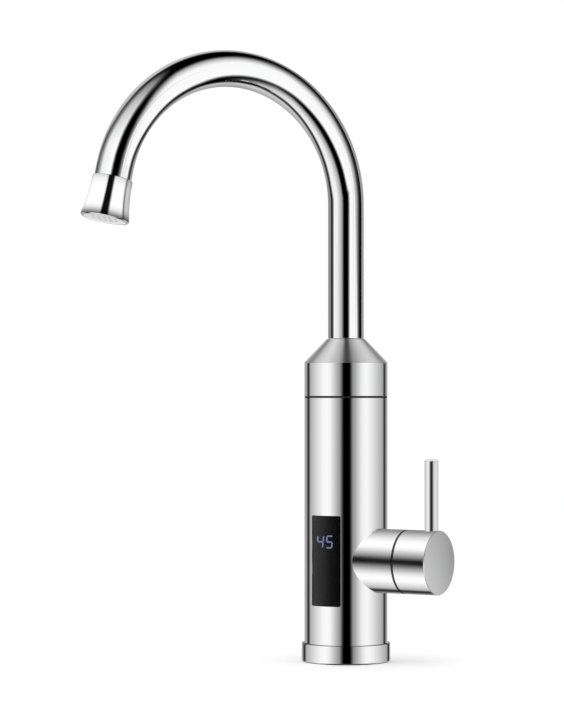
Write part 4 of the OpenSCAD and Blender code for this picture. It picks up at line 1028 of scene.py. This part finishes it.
# %% Steel and brass
materials["steel"], tree, shader = principled("steel", (0.56, 0.56, 0.57), 1.0, 0.3)
drawn = grain(tree, 500.0, (1, 1, 0.05), 5.0)
patches = grain(tree, 120.0)
put(tree, shader.inputs["Base Color"], blend_colours(tree, patches, (0.50, 0.50, 0.51), (0.63, 0.63, 0.63)))
put(tree, shader.inputs["Roughness"], drawn * 0.22 + 0.2)
bump(tree, shader, drawn, 0.000006)

materials["brass"], tree, shader = principled("brass", (0.71, 0.53, 0.24), 1.0, 0.28)
turned = grain(tree, 160.0, (1, 1, 22), 2.0)
patches = grain(tree, 90.0, (1, 1, 1), 5.0).step(0.35, 0.7)
put(tree, shader.inputs["Base Color"], blend_colours(tree, patches, (0.76, 0.57, 0.27), (0.56, 0.39, 0.17)))
put(tree, shader.inputs["Roughness"], turned * 0.16 + patches * 0.1 + 0.16)
bump(tree, shader, turned, 0.000012)
print("finishes:", ", ".join(materials))

# %% [markdown]
# ### Rubber and plastics
# Rubber is dull with a dusty bloom. The black housing parts are moulded with a spark-eroded
# texture, the white ones are smooth acetal with faint flow marks, and the discs of the
# cartridge are lapped alumina, whiter and glossier.

# %% Rubber, plastics and ceramic
materials["black_rubber"], tree, shader = principled("black_rubber", (0.022, 0.022, 0.023), 0.0, 0.62)
pores = grain(tree, 1800.0, (1, 1, 1), 4.0)
bloom = grain(tree, 110.0).step(0.4, 0.75)
dusty = blend_colours(tree, bloom, (0.018, 0.018, 0.019), (0.045, 0.044, 0.043))
put(tree, shader.inputs["Base Color"], dusty)
put(tree, shader.inputs["Roughness"], bloom * 0.18 + 0.55)
bump(tree, shader, pores, 0.00003)

materials["black_plastic"], tree, shader = principled("black_plastic", (0.03, 0.03, 0.033), 0.0, 0.42)
sparks = make(tree, "ShaderNodeTexVoronoi", {}, {"Vector": on_piece(tree), "Scale": 5200.0})["Distance"]
sheen = grain(tree, 150.0)
put(tree, shader.inputs["Base Color"], blend_colours(tree, sheen, (0.024, 0.024, 0.026), (0.04, 0.04, 0.043)))
put(tree, shader.inputs["Roughness"], sheen * 0.16 + 0.34)
bump(tree, shader, sparks, 0.00002)

materials["white_plastic"], tree, shader = principled("white_plastic", (0.78, 0.78, 0.76), 0.0, 0.38)
flow = grain(tree, 130.0, (1, 1, 0.3), 2.0)
put(tree, shader.inputs["Base Color"], blend_colours(tree, flow, (0.74, 0.74, 0.72), (0.82, 0.82, 0.80)))
put(tree, shader.inputs["Roughness"], flow * 0.2 + 0.28)
bump(tree, shader, grain(tree, 2500.0), 0.000005)

materials["ceramic"], tree, shader = principled("ceramic", (0.88, 0.87, 0.84), 0.0, 0.2)
specks = grain(tree, 2600.0, (1, 1, 1), 2.0).step(0.6, 0.75)
put(tree, shader.inputs["Base Color"], blend_colours(tree, specks, (0.89, 0.88, 0.85), (0.78, 0.76, 0.72)))
put(tree, shader.inputs["Roughness"], specks * 0.2 + 0.14)
print("finishes:", ", ".join(materials))

# %% [markdown]
# ### The display
# The circuit board is green lacquer over copper tracks. The lens is smoked acrylic, clear
# enough for the lit bars behind it and dark enough to hide the rest, so it is a real
# transmitting material with a tint. Its gloss is set low, because the studio is white,
# and a hard clear coat, thicker towards the left, gives it a soft sheen there.

# %% Board, lens and lit bars
TRACK_X_PITCH, TRACK_Z_PITCH = 0.0019, 0.0027
COAT_FADE_X = (-0.0095, 0.0055)
materials["circuit_board"], tree, shader = principled("circuit_board", (0.02, 0.13, 0.06), 0.0, 0.3)
x, _, z = axes(tree).values()
wander = grain(tree, 260.0, (1, 1, 1), 1.0) * 0.006
track_x = ((x + wander) * (2 * math.pi / TRACK_X_PITCH)).math("SINE").step(0.55, 0.7)
track_z = ((z + wander) * (2 * math.pi / TRACK_Z_PITCH)).math("SINE").step(0.8, 0.9)
region = grain(tree, 140.0, (1, 1, 1), 0.0).step(0.47, 0.53)
tracks = track_x * region + track_z * (1 - region)
put(tree, shader.inputs["Base Color"], blend_colours(tree, tracks, (0.012, 0.10, 0.045), (0.05, 0.22, 0.09)))
put(tree, shader.inputs["Roughness"], tracks * -0.08 + 0.34)
bump(tree, shader, tracks, 0.00003)

materials["smoked_lens"], tree, shader = principled(
    "smoked_lens", (0.08, 0.08, 0.085), 0.0, 0.03, Transmission_Weight=1.0, IOR=1.2, Coat_Roughness=0.03,
)
put(tree, shader.inputs["Roughness"], grain(tree, 400.0) * 0.02 + 0.02)
put(tree, shader.inputs["Coat Weight"], (1 - axes(tree)["X"].step(*COAT_FADE_X)) * 0.92)

materials["led_bars"], tree, shader = principled(
    "led_bars", (0.35, 0.42, 0.60), 0.0, 0.4, Emission_Strength=6.0,
)
glowing = blend_colours(tree, grain(tree, 1500.0), (0.33, 0.42, 0.72), (0.38, 0.47, 0.78))
put(tree, shader.inputs["Emission Color"], glowing)
print("finishes:", ", ".join(materials))

# %% [markdown]
# Retouched pictures of chrome show the studio and no small reflections of the tap in
# itself, such as the lever in the body. Cycles can leave them out: a piece that is not
# visible to glossy rays is still seen by the camera and still casts its shadow.

# %% Dress the solids
special = {
    "base_ring": chrome_ring, "top_collar": chrome_collar,
    "handle_housing": chrome_barrel, "handle_cap": chrome_cap,
}
for name, thing in nodes.items():
    slot = thing.data.materials[0].name.split(".")[0]
    thing.material_slots[0].material = special.get(name, materials[slot])
    thing.visible_glossy = False
print("finishes:", len(materials) + len(special), "on", len(nodes), "solids")

# %% [markdown]
# ## Pieces with a finer shape
# The solids carry every main form. A few pieces deserve more than a solid can sensibly
# hold, and each such piece hides its plain solid: the shank and its nut get their
# real pipe thread, cut as one helix so that they screw into each other.

# %% A closed mesh from rings
SAME_POINT = 2e-7
NO_LENGTH = 1e-7
SHARP_EDGE = math.radians(32)


def clean(mesh, merge=False):
    """Turns all faces outwards, and can first merge points that coincide."""
    bm = bmesh.new()
    bm.from_mesh(mesh)
    if merge:
        bmesh.ops.remove_doubles(bm, verts=bm.verts, dist=SAME_POINT)
        bmesh.ops.dissolve_degenerate(bm, dist=NO_LENGTH, edges=bm.edges)
    bmesh.ops.recalc_face_normals(bm, faces=bm.faces)
    bm.to_mesh(mesh)
    bm.free()


def ring_solid(name, rows, columns, slot, body, *replaced, place=None):
    """Joins rings, functions from angle to (radius, height) in mm, into one closed ring-shaped solid."""
    verts = []
    for row in rows:
        for k in range(columns):
            angle = 2 * math.pi * k / columns
            r, z = row(angle)
            verts.append((r * MM * math.cos(angle), r * MM * math.sin(angle), z * MM))
    mesh = mesh_from(name, verts, grid_quads(len(rows), columns, around=True, closed=True))
    mesh.validate()
    clean(mesh, merge=True)
    mesh.set_sharp_from_angle(angle=SHARP_EDGE)
    open_edges = len(mesh.edges) * 2 - sum(len(face.vertices) for face in mesh.polygons)
    if place:
        mesh.transform(place)
    piece = new_object(name, mesh, materials[slot])
    piece.visible_glossy = False
    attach(piece, body)
    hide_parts(*replaced)
    print(name + ":", len(mesh.polygons), "faces, open edges:", open_edges)


# %% The G1/2 thread
# Radii and heights are in mm. THREAD_SHAPE is one turn's profile from root to crest and back.
THREAD_R = 10.4775
PITCH = 1.814
THREAD_DEPTH = 1.162
THREAD_SHAPE = (0.0, 0.12, 0.5, 0.88, 1.0, 0.88, 0.5, 0.12)
SHANK_TURN = 48
THREAD_BASE = -60.0
ROOT_R = THREAD_R - THREAD_DEPTH


def helix_row(step, z_low, z_high, end_r, limit, clearance):
    """A ring of the helix. limit(r, depth) shapes its ends, by the distance to the nearer one."""
    def row(angle):
        z = THREAD_BASE + PITCH * (step / len(THREAD_SHAPE) + angle / (2 * math.pi))
        if not z_low < z < z_high:
            return end_r, min(max(z, z_low), z_high)
        r = ROOT_R + THREAD_DEPTH * THREAD_SHAPE[step % len(THREAD_SHAPE)] + clearance
        return limit(r, min(z - z_low, z_high - z)), z
    return row


def helix_rows(z_low, z_high, end_r, limit, clearance=0.0):
    """All rings of the helix between two heights, and one turn more below."""
    first = int((z_low - THREAD_BASE) / PITCH * len(THREAD_SHAPE)) - len(THREAD_SHAPE)
    last = int((z_high - THREAD_BASE) / PITCH * len(THREAD_SHAPE)) + 1
    return [helix_row(i, z_low, z_high, end_r, limit, clearance) for i in range(first, last + 1)]


def plain(r, z):
    """A round ring."""
    return lambda angle: (r, z)


def hexagonal(af, z, limit):
    """A ring of a hexagon with two flats square to Y, its corners cut back to limit."""
    def row(angle):
        part = (angle + math.pi / 6) % (math.pi / 3) - math.pi / 6
        return min(af / 2 / math.cos(math.pi / 6 - abs(part)), limit), z
    return row


print("thread: root radius", round(ROOT_R, 4), "crest radius", THREAD_R)

# %% [markdown]
# The shank is one solid from the free end up to the valve block: thread, relief groove,
# thread again, a plain seat in the base, a hexagon for the spanner, and the neck.

# %% Shank and lock nut
SHANK_LOW, GROOVE_LOW, GROOVE_HIGH, SHANK_HIGH = -60, -46, -44, 0
HEX_LOW, HEX_HIGH, NECK_HIGH = 8, 11, 50
NUT_LOW, NUT_HIGH = -32, -24
BORE_R = 6.0
HEX_AF, NUT_AF = 22.4, 25.0
NUT_BORE_R = THREAD_R + 0.3
NUT_PLAY = 0.04
corner_r, nut_corner_r = (af / 2 / math.cos(math.pi / 6) for af in (HEX_AF, NUT_AF))


def outside_limit(r, depth):
    """The shank's thread begins low."""
    return min(r, ROOT_R + 0.1 + depth)


def inside_limit(r, depth):
    """The nut's thread begins wide."""
    return max(r, NUT_BORE_R - depth)


shank_rows = [plain(BORE_R + 0.4, SHANK_LOW)]
shank_rows += helix_rows(SHANK_LOW, GROOVE_LOW, ROOT_R, outside_limit)
shank_rows += [plain(ROOT_R, GROOVE_LOW), plain(ROOT_R, GROOVE_HIGH)]
shank_rows += helix_rows(GROOVE_HIGH, SHANK_HIGH, ROOT_R, outside_limit)
shank_rows += [plain(ROOT_R, SHANK_HIGH), plain(ROOT_R, 0.4), plain(THREAD_R, 1.2), plain(THREAD_R, HEX_LOW)]
shank_rows += [hexagonal(HEX_AF, HEX_LOW, corner_r - 0.6), hexagonal(HEX_AF, HEX_LOW + 0.5, corner_r)]
shank_rows += [hexagonal(HEX_AF, HEX_HIGH - 0.6, corner_r), hexagonal(HEX_AF, HEX_HIGH, corner_r - 0.8)]
shank_rows += [plain(THREAD_R - 1, HEX_HIGH), plain(THREAD_R - 1, NECK_HIGH - 0.4)]
shank_rows += [plain(THREAD_R - 1.4, NECK_HIGH), plain(BORE_R, NECK_HIGH), plain(BORE_R, SHANK_LOW + 0.4)]
ring_solid("shank_with_thread", shank_rows, SHANK_TURN, "brass", "tap_body", "threaded_shank")

nut_rows = [hexagonal(NUT_AF, NUT_LOW, nut_corner_r - 1.5), hexagonal(NUT_AF, NUT_LOW + 0.8, nut_corner_r)]
nut_rows += [hexagonal(NUT_AF, NUT_HIGH - 0.8, nut_corner_r)]
nut_rows += [hexagonal(NUT_AF, NUT_HIGH, nut_corner_r - 1.5), plain(NUT_BORE_R, NUT_HIGH)]
nut_rows += helix_rows(NUT_LOW, NUT_HIGH, NUT_BORE_R, inside_limit, NUT_PLAY)[::-1]
nut_rows += [plain(NUT_BORE_R, NUT_LOW)]
ring_solid("nut_with_thread", nut_rows, SHANK_TURN, "brass", "tap_body", "lock_nut")

# %% [markdown]
# The bush on which the handle turns gets a black lip, a dark ring put in as painted shade. It stands in the
# thin gap between the housing and the cap, just under the chrome, and makes the dark ring that is seen there,
# where the gap lies in shade.

# %% Bush with its lip
along_barrel = Matrix.Translation((0, 0, BARREL_Z)) @ Matrix.Rotation(math.pi / 2, 4, "Y")
bush_low, bush_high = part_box("handle_bush")
BUSH_OUT = (bush_high.z - bush_low.z) / 2 / MM
BUSH_WALL = 1.5
BUSH_IN = BUSH_OUT - BUSH_WALL
BUSH_X = (bush_low.x / MM, bush_high.x / MM)
# The lip is painted shade: a black ring that fills the gap between the housing and the cap.
SHADE_LIP_X = (42.33, 42.87)
SHADE_LIP_R = 18.75
BUSH_EDGE, SHADE_LIP_EDGE = 0.3, 0.1
BUSH_TURN = 144
profile = [
    (BUSH_IN, BUSH_X[0]), (BUSH_IN, BUSH_X[1]), (BUSH_OUT - BUSH_EDGE, BUSH_X[1]),
    (BUSH_OUT, BUSH_X[1] - BUSH_EDGE), (BUSH_OUT, SHADE_LIP_X[1]), (SHADE_LIP_R - SHADE_LIP_EDGE, SHADE_LIP_X[1]),
    (SHADE_LIP_R, SHADE_LIP_X[1] - SHADE_LIP_EDGE), (SHADE_LIP_R, SHADE_LIP_X[0] + SHADE_LIP_EDGE), (SHADE_LIP_R - SHADE_LIP_EDGE, SHADE_LIP_X[0]),
    (BUSH_OUT, SHADE_LIP_X[0]), (BUSH_OUT, BUSH_X[0] + BUSH_EDGE), (BUSH_OUT - BUSH_EDGE, BUSH_X[0]),
]
rows = [lambda angle, row=row: row for row in profile]
ring_solid("bush_with_shade_lip", rows, BUSH_TURN, "black_plastic", "tap_body", "handle_bush", place=along_barrel)
print("bush: radius", round(BUSH_OUT, 2), "x", [round(v, 2) for v in BUSH_X])

# %% [markdown]
# Each digit is made of bars with pointed ends that lean a little. The bars are thinner
# than a solid could well be, and only the lit ones show through the smoked lens.

# %% Lit digits
# A bar's outline goes round its six corners. A place is the bar's middle, and 1 if it is upright.
BAR_SHAPE = ((-1, 0), (-1, 1), (1, 1), (1, 0), (1, -1), (-1, -1))
LIT_BARS = ("upper_left upper_right middle lower_right", "top upper_left middle lower_right bottom")
BAR_WIDE = 0.8
BAR_GAP = 0.12
HALF_W, HALF_H = 1.9, 3.5
DIGIT_X = (-4.70, 1.50)
LEAN = math.tan(math.radians(6))
bars_low, bars_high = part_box("led_digits")
BAR_PLACES = {
    "top": (0, HALF_H, 0), "middle": (0, 0, 0), "bottom": (0, -HALF_H, 0),
    "upper_left": (-HALF_W, HALF_H / 2, 1), "upper_right": (HALF_W, HALF_H / 2, 1),
    "lower_right": (HALF_W, -HALF_H / 2, 1),
}


def bar_outline(middle_x, middle_z, upright):
    """Six corners of a bar, leaning with its digit, in mm."""
    half = (HALF_H / 2 if upright else HALF_W) - BAR_GAP
    corners = []
    for end, side in BAR_SHAPE:
        along = end * (half - abs(side) * BAR_WIDE / 2)
        beside = side * BAR_WIDE / 2
        x, z = (middle_x - beside, middle_z + along) if upright else (middle_x + along, middle_z + beside)
        corners.append((x + z * LEAN, z))
    return corners


verts, faces = [], []
bars_z = (bars_low.z + bars_high.z) / 2
for digit_x, lit_names in zip(DIGIT_X, LIT_BARS):
    for bar_name in lit_names.split():
        start = len(verts)
        outline = bar_outline(*BAR_PLACES[bar_name])
        for y in (bars_high.y, bars_low.y):
            verts += [((digit_x + x) * MM, y, bars_z + z * MM) for x, z in outline]
        back, front = list(range(start, start + 6)), list(range(start + 6, start + 12))
        faces += [back, front[::-1]]
        faces += [(back[k - 1], back[k], front[k], front[k - 1]) for k in range(6)]
mesh = mesh_from("lit_digits", verts, faces)
clean(mesh)
digits = new_object("lit_digits", mesh, materials["led_bars"])
digits.visible_glossy = False
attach(digits, "tap_body")
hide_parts("led_digits")
print("lit bars:", len(verts) // 12)

# %% [markdown]
# The flow switch's little spring is wound close at both ends, where it is set down flat, and
# open in between. It shortens as the plunger lifts; here it keeps the length of its solid.

# %% Spring of the plunger
SPRING_TURNS = 3.25
SPRING_STEPS, WIRE_SIDES = 30, 10
WIRE_R = 0.3 * MM
spring_low, spring_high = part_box("plunger_spring")
spring_tall = spring_high.z - spring_low.z
coil_r = (spring_high.x - spring_low.x) / 2 - WIRE_R
part = np.linspace(0, 1, round(SPRING_TURNS * SPRING_STEPS) + 1)
turn = 2 * np.pi * SPRING_TURNS * part
rise = spring_low.z + WIRE_R + (spring_tall - 2 * WIRE_R) * (part - np.sin(2 * np.pi * part) / (4 * np.pi))
radial = np.stack([np.cos(turn), np.sin(turn), 0 * turn], axis=-1)
middle = coil_r * radial + np.stack([0 * turn, 0 * turn + (spring_low.y + spring_high.y) / 2, rise], axis=-1)
tangent = unit(np.gradient(middle, axis=0))
side_dirs = np.cross(tangent, radial)
wire = 2 * np.pi * np.arange(WIRE_SIDES)[:, None] / WIRE_SIDES
rings = middle[:, None] + WIRE_R * (np.cos(wire) * radial[:, None] + np.sin(wire) * side_dirs[:, None])
count = len(part)
faces = grid_quads(count, WIRE_SIDES, around=True)
faces += [tuple(range(WIRE_SIDES))[::-1], tuple(range((count - 1) * WIRE_SIDES, count * WIRE_SIDES))]
mesh = mesh_from("coiled_spring", rings.reshape(-1, 3), faces)
clean(mesh)
spring = new_object("coiled_spring", mesh, materials["steel"])
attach(spring, "tap_body")
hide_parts("plunger_spring")
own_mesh(spring)
